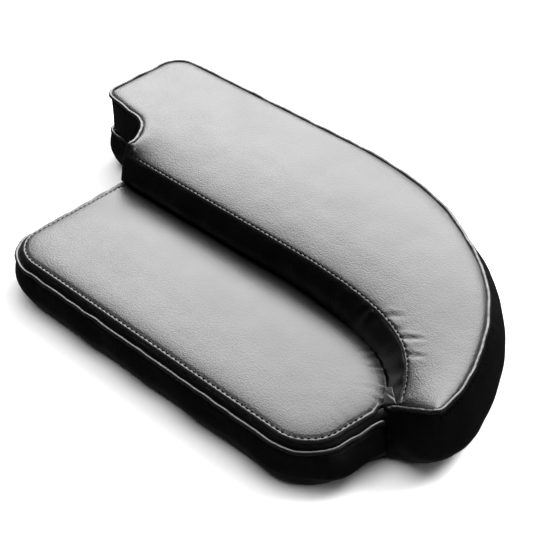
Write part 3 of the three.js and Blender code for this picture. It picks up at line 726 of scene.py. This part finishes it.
# Inset and height along the edge turned under the base, and the rim turned in at the piping
LOW_EDGE = np.array([
    (24.5, 1.55), (19, 1.4), (13, 1.35), (9, 1.45), (6.4, 2.1), (4.3, 3.8), (2.9, 6.6), (1.8, 10.5)
])
RIM_INSETS, RIM_DEPTHS = np.array([0.45, 1.3, 2.6]), np.array([1.9, 1.35, 1.25])


def on_stations(u, inset, z, soft=0.0):
    """A grid of points, one row per station, from grids of insets and heights."""
    xy = plan(u[:, None], inset, soft)
    return np.concatenate([xy, np.broadcast_to(z, xy.shape[:2])[..., None]], axis=2)


def wall_profile(top, out, samples, peak):
    """Insets and heights from the turned-under edge up to the piping, one row per station."""
    top, out, peak = top[:, None], out[:, None], peak[:, None]
    lift = np.linspace(0, 1, samples) ** 0.92
    z = lerp(LOW_EDGE[-1, 1], top - 2.6, lift)
    share = np.clip((z - 3.0) / (top - 4.0), 0, 1)
    tuck = LOW_EDGE[-1, 0] * (1 - smooth(lift, 0, 0.55))
    inset = tuck + 0.2 - out * np.sin(math.pi * share**peak) ** 0.9 * smooth(lift, -0.35, 0.4)
    low = np.broadcast_to(LOW_EDGE[:-1], (len(top), len(LOW_EDGE) - 1, 2))
    rim = np.broadcast_to(RIM_INSETS, (len(top), 3))
    return np.hstack([low[..., 0], inset, rim]), np.hstack([low[..., 1], z, top - RIM_DEPTHS])


def station_lengths(first, last):
    u = np.arange(first, last + 0.001, 1.0)
    u[-1] = last
    return u, lengths_of(plan(u, 0))


def end_distance(far):
    return np.minimum(far, far[-1] - far)


def low_share(z):
    """How far the outline at a height is the bottom's."""
    return 1 - smooth(z, 5, 34)


def wall_shape(p, tall):
    """How far a wall stands out, and the power that puts its fullest height low (under 1)."""
    x, y = p[:, 0], p[:, 1]
    if tall:
        out = 7.2 * smooth(y, -66, -36) * smooth(x, -200, -60)
        return out + lerp(2.0, 4.0, smooth(x, -222, -190)), lerp(0.52, 1.0, smooth(y, -10, 70))
    out = 3.6 - 1.6 * smooth(y, 10, 34) * (1 - smooth(x, -150, -120))
    return out + 4.5 * smooth(x, 150, 178) * smooth(y, -132, -106), np.full(len(p), 0.8)


def wall_panel(name, first, last, samples, tall, seed, node):
    u, far = station_lengths(first, last)
    ends, far = end_distance(far)[:, None], far[:, None]
    p = plan(u, 0)
    top = edge_top(p) if tall else np.full(len(u), BASE_TOP)
    out, peak = wall_shape(p, tall)
    inset, z = wall_profile(top, out, samples, peak)
    slack, puckers, drift = waves(seed, 60, 190), waves(seed + 1, 7, 19), waves(seed + 2, 20, 50)
    top = top[:, None]
    share, below = z / top, top - z
    body = smooth(z, 3, 14) * smooth(below, 1.5, 9)
    inset += body * (0.75 * slack(far + 22 * share) + 0.22 * drift(far + 9 * share))
    near_top = np.exp(-below / 6.5) * smooth(below, 1.4, 3.2)
    inset += 0.30 * near_top * puckers(far - 0.25 * below)
    if tall:
        inset += drawn_in(u)[:, None] * smooth(z, top - 17, top)
    inset += 0.16 * np.exp(-np.abs(z - 5) / 4.0) * puckers(1.3 * far + 400)
    inset += 1.7 * (1 - smooth(ends, 0, 3.4)) * smooth(z, 2, 6)
    inset += 0.35 * bell(ends, 2.6, 0.8) * smooth(z, 4, 8)
    turned_under = z < 3.0
    inner_z = np.where(turned_under, z + 1.2, z)
    inner_z[:, -3:] -= np.array([0.6, 1.2, 1.3])
    inner = on_stations(u, inset + np.where(turned_under, 0.0, PANEL), inner_z, low_share(z))
    panel = shell(on_stations(u, inset, z, low_share(z)), inner)
    wall = piece(name, *panel, shaded_wall_leather, "cover_leather")
    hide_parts(node)


LAP = 0.1
wall_panel("base_wall_panel", CORNER_SEAM - LAP, NOTCH_SEAM + LAP + STATIONS, 26, False, 11,
           "base_side_band")
wall_panel("bolster_wall_panel", NOTCH_SEAM - LAP, CORNER_SEAM + LAP, 40, True, 23,
           "bolster_side_band")


def left_end_panel():
    u, far = station_lengths(CORNER_SEAM + 0.12, END["recess"] - 3.0)
    ends, far = end_distance(far)[:, None], far[:, None]
    puckers, slack = waves(41, 8, 20), waves(42, 50, 120)
    share = np.linspace(0, 1, 26)
    z = lerp(BASE_TOP + 1.3, upper_piping_top(u)[:, None] - 1.3, share)
    edge, middle = np.minimum(share, 1 - share), np.sin(math.pi * share)
    inset = 2.1 - 1.7 * smooth(edge, 0, 0.07) + 0.5 * middle**0.8 + 1.4 * drawn_in(u)[:, None]
    inset = inset + 0.28 * np.exp(-edge * 34 / 6) * puckers(far) + 0.5 * middle * slack(far)
    inset = inset + 1.6 * (1 - smooth(ends, 0, 3.2))
    panel = shell(on_stations(u, inset, z), on_stations(u, inset + PANEL, z))
    made = piece("left_end_panel", *panel, shaded_wall_leather, "cover_leather")
    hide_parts("left_end_band")


left_end_panel()


def base_foam_block():
    """The base's foam, filled out to the inside of the side panels."""
    u = np.arange(0, STATIONS, 2.0)
    p = plan(u, 0)
    tall = (u > NOTCH_SEAM) & (u < CORNER_SEAM)
    heights = np.linspace(12.5, 34.4, 10)
    shape = np.where(tall, wall_shape(p, True), wall_shape(p, False))
    profiles = wall_profile(np.where(tall, edge_top(p), BASE_TOP), shape[0], 26, shape[1])
    insets = np.array([np.interp(heights, z, inset) for inset, z in zip(*profiles)])
    insets = softened(insets + PANEL + 3.2, 4)
    insets[:, [0, -1]] += 1.6
    layers = on_stations(u, insets, heights, low_share(heights)).transpose(1, 0, 2)
    count = len(u)
    faces = band_faces(len(heights), count)
    for layer, way in ((0, -1), (len(heights) - 1, 1)):
        flat, cap = triangulated(layers[layer, :, :2], loop_edges(count))
        faces += [tuple(layer * count + i for i in f) for f in wound(flat, cap, way)]
    made = piece("base_foam_block", layers.reshape(-1, 3), faces, foam, "foam")
    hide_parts("base_foam")


base_foam_block()


# ---- Piping ----
def piping(name, path, node, seed):
    path = resample(path, step=1.3)
    far = lengths_of(path)
    wobble, swell = waves(seed, 16, 60), waves(seed + 1, 5, 14)
    path = path + unit(left_of(heading(path))) * (0.22 * wobble(far + 70))[:, None]
    path[:, 2] += 0.28 * wobble(far) + 0.05
    sewn = tube(path, PIPING_R * (0.97 + 0.035 * swell(far)))
    made = piece(name, *sewn, piping_leather, "piping_leather")
    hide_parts(node)
    inside = tube(path[2:-2], CORD_R * (1 + 0.03 * swell(3 * far[2:-2])), sides=8)
    cord = piece(name + "_cord", *inside, cotton, "piping_cord")
    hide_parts(node + "_cord")


def over(u, inset, z):
    return np.column_stack([plan(u, inset), np.broadcast_to(z, u.shape)])


base_u = np.append(np.arange(CORNER_SEAM, NOTCH_SEAM + STATIONS, 1.0), NOTCH_SEAM + STATIONS)
piping("base_sewn_piping", over(base_u, 1.0, BASE_TOP), "base_piping", 51)
upper_u = np.arange(NOTCH_SEAM + 1.0, END["recess"] + 0.5, 1.0)
DOWN_TO_PAD = [(5, 68), (1.5, 61), (-1, 52), (-2.8, 44), (-3.6, 40.5)]
down = np.array([(PAD_LEFT + 1.0, y, z) for y, z in DOWN_TO_PAD])
upper_line = over(upper_u, 1.0 + drawn_in(upper_u), upper_piping_top(upper_u))
piping("bolster_sewn_piping", np.vstack([upper_line, down]), "bolster_piping", 57)

# ---- The pad ----
LAP_INSET = 5.6
FOOT_Z = 36.8
PAD_STITCH, RAIL_STITCH = 2.9, 2.15
pad_u = np.arange(END["recess"], START["notch"] + STATIONS + 0.1, 1.0)
lap_line = plan(pad_u, LAP_INSET)
lap_line = lap_line[(lap_line[:, 1] < FOOT_Y - 1.0)]
lap_line = lap_line[(lap_line[:, 0] < 100) | (lap_line[:, 1] < -60.5)]
foot_back = resample(FOOT_LINE, step=1.5)[::-1]
foot_back = foot_back[foot_back[:, 0] > PAD_LEFT + LAP_INSET + 0.8]
pad_loop = np.vstack([lap_line, foot_back])
on_foot = np.concatenate([np.zeros(len(lap_line)), np.ones(len(foot_back))])
foot_z = lerp(FOOT_Z, FOOT_Z + 6.4, smooth(pad_loop[:, 0], 80, 165))
pad_slow = np.where(on_foot > 0, foot_z, PAD_SEAM_TOP + 0.9)


def pad_crest(x, y):
    return 47.6 + 0.5 * np.cos((x - 10) / 110.0) * np.cos((y + 65) / 60.0)


def pad_reach(x, y):
    return lerp(7.5, 18.5, smooth(y, -80, -20) * (1 - 0.85 * smooth(x, 20, 125)))


pad_even = np.ones(len(pad_loop))
pad_cover = Cover(pad_loop, pad_slow, 0 * pad_even, pad_even, pad_crest, pad_reach)
foot_dense = pad_cover.spread(on_foot)
pad_ripple = waves_2d(61, 14, 45)
pad_pucker = waves(62, 6, 15)


def pad_height(points):
    z, distance, nearest = pad_cover.height(points)
    seam = 1 - foot_dense[nearest]
    along = pad_cover.along[nearest]
    z = z + seam * lapped(distance, along, PAD_STITCH, 0.55, 1.3, 2.9, 0.62, 0.75)
    x, y = points.T
    puckers = 0.35 + 0.65 * smooth(x, 120, 165)
    puckers = puckers * pad_pucker(along) * smooth(distance, 2.3, 5) * np.exp(-distance / 10)
    z = z + seam * 0.16 * puckers + 0.045 * pad_ripple(x, y) * smooth(distance, 3, 20)
    gather = np.exp(-distance / 9) * foot_dense[nearest] * smooth(x, 60, 150)
    return z + 0.5 * gather * pad_pucker(along + 333)


OFFSETS = [0.25, 0.55, 0.9, 1.3, 1.7, 2.1, 2.5, 3.0, 3.7, 4.6, 5.8, 7.4]
pad_points, pad_faces = pad_cover.mesh(OFFSETS, 2.6)
pad = closed_cushion("pad_cushion", pad_points, pad_faces, pad_height(pad_points))
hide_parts("pad_foam", "pad_top_panel")


def border_strip():
    """The strip between the pad's lapped edge and the base's piping."""
    u = np.arange(END["recess"], END["notch"] + STATIONS + 4.1, 1.0)
    u = u[plan(u, LAP_INSET)[:, 1] < FOOT_Y + 0.5]
    far = lengths_of(plan(u, 5))[:, None]
    puckers, slack = waves(71, 7, 16), waves(72, 40, 120)
    share = np.linspace(0, 1, 14)
    widened = 4.0 * smooth(u, u[-1] - 14, u[-1] - 6)[:, None]
    inset = lerp(2.2, LAP_INSET + 1.6 + widened, share)
    z = BASE_TOP + 0.2 + 4.2 * np.sin(share * math.pi / 2) ** 0.75 - 0.7 * np.exp(-share / 0.06)
    z = z + np.sin(math.pi * share) * (0.22 * slack(far) + 0.2 * puckers(far + 2 * share))
    strip = shell(on_stations(u, inset, z), on_stations(u, inset, z - PANEL))
    made = piece("pad_border", *strip, shaded_wall_leather, "cover_leather")
    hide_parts("pad_border_strip")


border_strip()

# ---- The bolster ----
EDGE_INSET, RAIL_PULL = 2.4, 0.7
rail = resample(SEAM_LINE, step=1.5)
edge_u = np.arange(NOTCH_SEAM, END["recess"] + 0.5, 1.0)
edge_line = plan(edge_u, EDGE_INSET + drawn_in(edge_u))
keep = (edge_line[:, 0] > rail[-1, 0] + 0.8) | (edge_line[:, 1] > -55)
edge_u, edge_line = edge_u[keep], edge_line[keep]
bolster_loop = np.vstack([rail, edge_line])
rail_fade = smooth(rail[:, 1], -62, -44)
left_fade = smooth(rail[:, 0], RAIL_LEFT, RAIL_LEFT + 14)
near_tip = 1 - smooth(rail[:, 1], -60, -28)
rail_pull = RAIL_PULL * rail_fade * (0.35 + 0.65 * left_fade) + 0.4 + 1.8 * near_tip
rail_slow = seam_top(rail) + rail_pull
edge_z = upper_piping_top(edge_u)
rolled = smooth(edge_line[:, 0], -10, 75) * smooth(edge_line[:, 1], 30, 85)
edge_pull = 2.4 + 2.8 * rolled
bolster_slow = np.concatenate([rail_slow, edge_z + 0.2 + edge_pull])
bolster_pull = np.concatenate([rail_pull, edge_pull])
bolster_width = np.concatenate([3.4 + 2.2 * near_tip, 2.6 + 7.0 * rolled])
on_edge = np.concatenate([np.zeros(len(rail)), np.ones(len(edge_u))])


BOLSTER_PEAK = 80.4


def bolster_crest(x, y):
    return np.where(x > 100, lerp(76.0, BOLSTER_PEAK, smooth(y, -64, -5)), BOLSTER_PEAK)


def bolster_reach(x, y):
    return 46.0


bolster_cover = Cover(
    bolster_loop, bolster_slow, bolster_pull, bolster_width, bolster_crest, bolster_reach
)
edge_dense = bolster_cover.spread(on_edge)

# Wrinkles that run from the inner seam into the top where the bolster curls: points along
# each, how deep it is and how wide
WRINKLES = [
    ([(153.5, -25.0), (156.7, -21.4), (160.5, -18.2), (165, -16.4),
      (171, -13.6), (178, -11.5)], 1.0, 1.5),
    ([(164.5, -34.0), (167.7, -30.4), (171, -28.6), (175.4, -27.6),
      (182, -25.2), (188, -24.8)], 0.85, 1.5),
    ([(133.0, -14.5), (136.2, -10.6), (138.5, -7.2), (142.5, -5.6),
      (148, -3.6), (151, -0.2)], 0.65, 1.9),
    ([(142.5, -18.4), (145.2, -16.2), (148, -15.2), (152.0, -14.0), (157.0, -12.4)], 0.55, 1.5),
    ([(158.5, -27.5), (161.4, -25.3), (165.3, -24.6), (170.5, -23.6)], 0.5, 1.2),
    ([(169.5, -42.0), (173.5, -39.6), (178.5, -38.2), (184.0, -38.4)], 0.35, 1.5),
    ([(118.0, -8.5), (122.5, -4.5), (129.0, -1.0)], 0.3, 2.0),
]


def wrinkles(points):
    total = np.zeros(len(points))
    for line, depth, width in WRINKLES:
        line = resample(line, count=28)
        share = np.linspace(0, 1, len(line))
        gaps = norm(points[:, None] - line[None], axis=2)
        best = gaps.argmin(1)
        gap = gaps[np.arange(len(points)), best]
        strength = depth * (1 - smooth(share[best], 0.4, 1.0)) * smooth(share[best], -0.02, 0.12)
        total -= 0.8 * strength * bell(gap, 0, 1.15 * width)
        total += 0.3 * strength * bell(gap, 2.4 * width, 1.3 * width)
    return total


bolster_ripple = waves_2d(81, 16, 60)
bolster_pucker = waves(82, 7, 17)


def bolster_height(points):
    z, distance, nearest = bolster_cover.height(points)
    edge = edge_dense[nearest]
    along = bolster_cover.along[nearest]
    z = z + (1 - edge) * lapped(distance, along, RAIL_STITCH, 0.5, 1.1, 2.05, 0.34, 0.6)
    x, y = points.T
    puckers = 0.10 * bolster_pucker(along)
    curl = (0.3 + 0.7 * smooth(x, 90, 150)) * smooth(distance, 2.4, 5) * np.exp(-distance / 9)
    z = z + (1 - edge) * curl * puckers
    z = z + edge * puckers * smooth(distance, 2.6, 5) * np.exp(-distance / 8)
    z = z + 0.06 * bolster_ripple(x, y) * smooth(distance, 3, 22)
    near = (x > 95) & (y < 18)
    z[near] += wrinkles(points[near]) * smooth(distance[near], 1.0, 3.2)
    return z


def fine_zone(x, y):
    return (x > 100) & (y < 14) & (y > -52) & (x < 200)


bolster_points, bolster_faces = bolster_cover.mesh(OFFSETS, 2.6, fine_zone)
bolster_z = bolster_height(bolster_points)
bolster = closed_cushion("bolster_cushion", bolster_points, bolster_faces, bolster_z)
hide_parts("bolster_foam", "bolster_top_panel")


def facing():
    """The bolster's inner face, gathered towards its seam where it curls."""
    curl_count, left_count = 190, len(resample(SEAM_LINE[:2], step=1.5))
    seam = resample(SEAM_LINE[:2], count=left_count)[:-1], resample(seam_curl, count=curl_count)
    foot = resample(FOOT_LINE[:2], count=left_count)[:-1], resample(foot_curl, count=curl_count)
    seam, foot = np.vstack(seam), np.vstack(foot)
    far = lengths_of(seam)[:, None]
    share = np.linspace(0, 1, 24)
    fine, broad, slope = waves(91, 11, 34), waves(92, 30, 90), waves(93, 25, 60)
    out = -left_of(heading(seam))[:, None]
    x = seam[:, :1]
    z = lerp(36.4, seam_top(seam)[:, None] - 0.9, share)
    middle = foot[:, None] + (seam - foot)[:, None] * share[:, None] ** 0.9
    arch = np.sin(math.pi * share)
    full = 2.6 + 3.0 * (1 - smooth(x, -20, 45)) * (1 - share)
    bulge = full * arch**0.8 * (smooth(far[-1] - far, 0, 10) * 0.85 + 0.15)
    gather = (0.25 + 0.75 * smooth(x, 70, 150)) * 0.62 * fine(far + 7 * (share - 0.5) * slope(far))
    gather = gather * (np.exp(-(1 - share) / 0.35) + 0.45 * np.exp(-share / 0.3))
    bulge = bulge + gather * smooth(share, 0, 0.1) * smooth(1 - share, 0.0, 0.10)
    bulge = bulge + 0.55 * broad(far) * arch - 0.5 * np.exp(-(1 - share) / 0.03)
    outer = np.concatenate([middle + out * bulge[..., None], z[..., None]], axis=2)
    inner = outer.copy()
    inner[..., :2] -= out * PANEL
    made = piece("bolster_facing", *shell(outer, inner), facing_leather, "facing_leather")
    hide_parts("bolster_inner_facing")


facing()


# Corners of the gusset: beside the pad, up the facing, at the seam's end and at the piping
FOLD_CORNERS = np.array([
    (168.6, -47.1, 45.6), (175.5, -48.2, 51.5), (188.6, -60.4, 53.4), (178.6, -60.6, 46.4)
])
FOLD_LOW = 35.0


def corner_fold():
    """The small gusset at the tip, a padded patch folded out where facing, pad and tip meet."""
    a, b = np.meshgrid(np.linspace(0, 1, 22), np.linspace(0, 1, 22), indexing="ij")
    first, second, third, fourth = FOLD_CORNERS
    across = a[..., None]
    outer = lerp(lerp(first, second, across), lerp(fourth, third, across), b[..., None])
    rim = np.minimum(np.minimum(a, 1 - a), np.minimum(b, 1 - b))
    crease = bell(b, 0.25 + 0.45 * a, 0.09)
    outer[..., 2] += 0.9 * np.sin(math.pi * np.clip(rim * 2, 0, 1) / 2) ** 0.6 - 0.5 * crease
    outer[..., 2] += 0.16 * waves_2d(87, 3, 9)(outer[..., 0], outer[..., 1])
    inner = outer.copy()
    inner[..., 2] = FOLD_LOW
    made = piece("corner_fold", *shell(outer, inner), cover_leather, "cover_leather")
    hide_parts("corner_gusset")


corner_fold()


# ---- Topstitching ----
def on_surface(line, height):
    """A line laid on a height field, with the field's normals."""
    z = height(line)
    step = 0.6
    dx = (height(line + [step, 0]) - height(line - [step, 0])) / (2 * step)
    dy = (height(line + [0, step]) - height(line - [0, step])) / (2 * step)
    return np.column_stack([line, z]), unit(np.column_stack([-dx, -dy, np.ones(len(line))]))


def stitched(name, line, height, lift=0.0):
    path, normals = on_surface(resample(line, step=1.0), height)
    blend = np.ones(7) / 7
    for k in range(3):
        padded_line = np.pad(path[:, k], 3, mode="edge")
        path[:, k] = np.convolve(padded_line, blend, mode="valid")
    piece(name, *stitches(path, normals, lift=lift), thread, "cover_leather")


def beside(line, distance):
    return line + left_of(heading(line)) * distance


stitched("pad_topstitch", beside(lap_line, PAD_STITCH)[2:-2], pad_height, 0.1)
stitched("bolster_inner_topstitch", beside(rail, RAIL_STITCH)[1:-2], bolster_height, 0.1)


def wall_stitching():
    """The row below the bolster's piping, from the tip round to the back."""
    u = np.arange(END["nose"] - 4.0, START["back_left"] - 8.0, 0.5)
    p = plan(u, -0.75 + 0.8 * drawn_in(u))
    path = np.column_stack([p, edge_top(plan(u, 0)) - 5.0])
    normals = np.column_stack([-left_of(heading(p)), np.full(len(u), 0.25)])
    piece("bolster_edge_topstitch", *stitches(path, normals), thread, "cover_leather")


wall_stitching()


# ---- Dust cover ----
def box_centre(low, high):
    """The plan centre of a box of the frame."""
    return ((np.array((low + high) / 2) - SHIFT) / MM)[:2]


HEM_INSET, HOLE_R = 14.3, 5.3


def dust_cover():
    """One layer of cloth with a hole at each T-nut, pinched down at the staples."""
    hem_u = np.arange(0, STATIONS, 2.0)
    loop = plan(hem_u, HEM_INSET, 1.0)
    angle = np.linspace(0, 2 * math.pi, 28, endpoint=False)
    circle = HOLE_R * np.column_stack([np.cos(angle), np.sin(angle)])
    holes = [box_centre(*box) + circle for box in t_nut_boxes]
    staple_names = [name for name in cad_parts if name.startswith("staple")]
    staple_centres = np.array([box_centre(*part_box(name)) for name in staple_names])
    lows, highs = loop.min(0), loop.max(0)
    xs, ys = np.meshgrid(np.arange(lows[0], highs[0], 4.0), np.arange(lows[1], highs[1], 4.0))
    scatter = np.column_stack([xs.ravel(), ys.ravel()])
    points = [loop, plan(hem_u, HEM_INSET + 2.2, 1.0)] + holes
    edges = loop_edges(len(loop))
    start = 2 * len(loop)
    for hole in holes:
        edges += loop_edges(len(hole), start)
        start += len(hole)
    tree = tree_of(loop)
    clear = np.array([tree.find((p[0], p[1], 0.0))[2] for p in scatter]) > 5
    for hole in holes:
        clear &= norm(scatter - hole.mean(0), axis=1) > 7.5
    flat, faces = triangulated(np.concatenate(points + [scatter[clear]]), edges, 2)
    centres = np.array([flat[list(f)].mean(0) for f in faces])
    middles = np.array([hole.mean(0) for hole in holes])
    solid = norm(centres[:, None] - middles, axis=2).min(1) > 5.0
    faces = wound(flat, [f for f, kept in zip(faces, solid) if kept], -1)
    ripple = waves_2d(97, 14, 40)
    gaps = norm(flat[:, None] - staple_centres[None], axis=2).min(1)
    pinch = bell(gaps, 0, 9.0)
    z = 0.38 + 0.16 * ripple(flat[:, 0], flat[:, 1]) * (1 - pinch) + 0.28 * pinch
    z = np.clip(z, 0.05, 0.75)
    count = len(flat)
    closed = faces + [tuple(i + count for i in f[::-1]) for f in faces]
    closed += rim_faces(faces, count)
    both = np.concatenate([np.column_stack([flat, z]), np.column_stack([flat, z + 0.4])])
    cloth = piece("dust_cloth", both, closed, felt_black, "dust_cover")
    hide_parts("dust_cover")


dust_cover()

# ---- Floor, light and camera ----
def flat_material(name, colour, rough):
    n = Nodes(name)
    tint = n.mixed(n.noise(3.0), colour, tuple(0.985 * c for c in colour))
    return n.finish(tint, rough, {"Specular IOR Level": 0.1})


bpy.ops.mesh.primitive_plane_add(size=14.0, location=(0, 0, -0.0002))
floor = bpy.context.object
floor.name = "floor"
floor.data.materials.append(flat_material("floor_pale", (0.86, 0.86, 0.86), 0.9))
floor.visible_glossy = False

world = bpy.data.worlds.new("studio")
scene.world = world
world.use_nodes = True
ambient = world.node_tree.nodes["Background"].inputs
ambient[0].default_value = (1.0, 1.0, 1.0, 1.0)
ambient[1].default_value = 0.05

def direction(azimuth, elevation):
    """A unit vector at an azimuth clockwise from +Y seen from above, in degrees."""
    a, e = math.radians(azimuth), math.radians(elevation)
    return Vector((math.sin(a) * math.cos(e), math.cos(a) * math.cos(e), math.sin(e)))


CAMERA_PLAN = (525.1, -541.6, 644.2)
AZIMUTH, ELEVATION, ROLL = -42.87, -39.56, math.radians(0.31)
forward = direction(AZIMUTH, ELEVATION)
level = direction(AZIMUTH + 90, 0)
upward = level.cross(forward)
right = level * math.cos(ROLL) + upward * math.sin(ROLL)
up = upward * math.cos(ROLL) - level * math.sin(ROLL)
data = bpy.data.cameras.new("camera")
data.sensor_width = 36.0
data.lens = 1243.0 / 550.0 * 36.0
data.clip_start, data.clip_end = 0.05, 50.0
camera = bpy.data.objects.new("camera", data)
camera.matrix_world = Matrix((right, up, -forward)).transposed().to_4x4()
camera.location = Vector(to_frame(CAMERA_PLAN))
scene.collection.objects.link(camera)
scene.camera = camera


def softbox(name, azimuth, elevation, distance, wide, tall, power, link=None):
    """An area light on the object, or for the floor alone (INCLUDE) or all but it (EXCLUDE)."""
    way = direction(azimuth, elevation)
    lamp = bpy.data.lights.new(name, "AREA")
    lamp.shape = "RECTANGLE"
    lamp.size, lamp.size_y = wide, tall
    lamp.energy = power
    made = bpy.data.objects.new(name, lamp)
    made.location = way * distance + Vector((0, 0, 0.04))
    made.rotation_mode = "QUATERNION"
    made.rotation_quaternion = way.to_track_quat("Z", "Y")
    made.visible_glossy = link != "INCLUDE"
    scene.collection.objects.link(made)
    if link:
        receivers = bpy.data.collections.new(name + "_receivers")
        receivers.objects.link(floor)
        receivers.collection_objects[0].light_linking.link_state = link
        made.light_linking.receiver_collection = receivers


BEHIND = -38.5
softbox("softbox_back", BEHIND, 38.5, 1.7, 2.1, 1.25, 98.0, "EXCLUDE")
softbox("softbox_high", BEHIND, 74.0, 1.8, 1.6, 0.8, 22.0, "EXCLUDE")
softbox("floor_fill", 0.0, 88.0, 2.6, 3.4, 3.4, 150.0, "INCLUDE")
softbox("floor_key", 22.0, 48.0, 2.4, 1.6, 1.6, 120.0, "INCLUDE")
softbox("fill_right", 80.0, 30.0, 2.2, 0.8, 0.5, 4.0)

scene.view_settings.view_transform = "Standard"
scene.view_settings.look = "None"
scene.view_settings.exposure = 0.0
scene.view_settings.gamma = 1.0
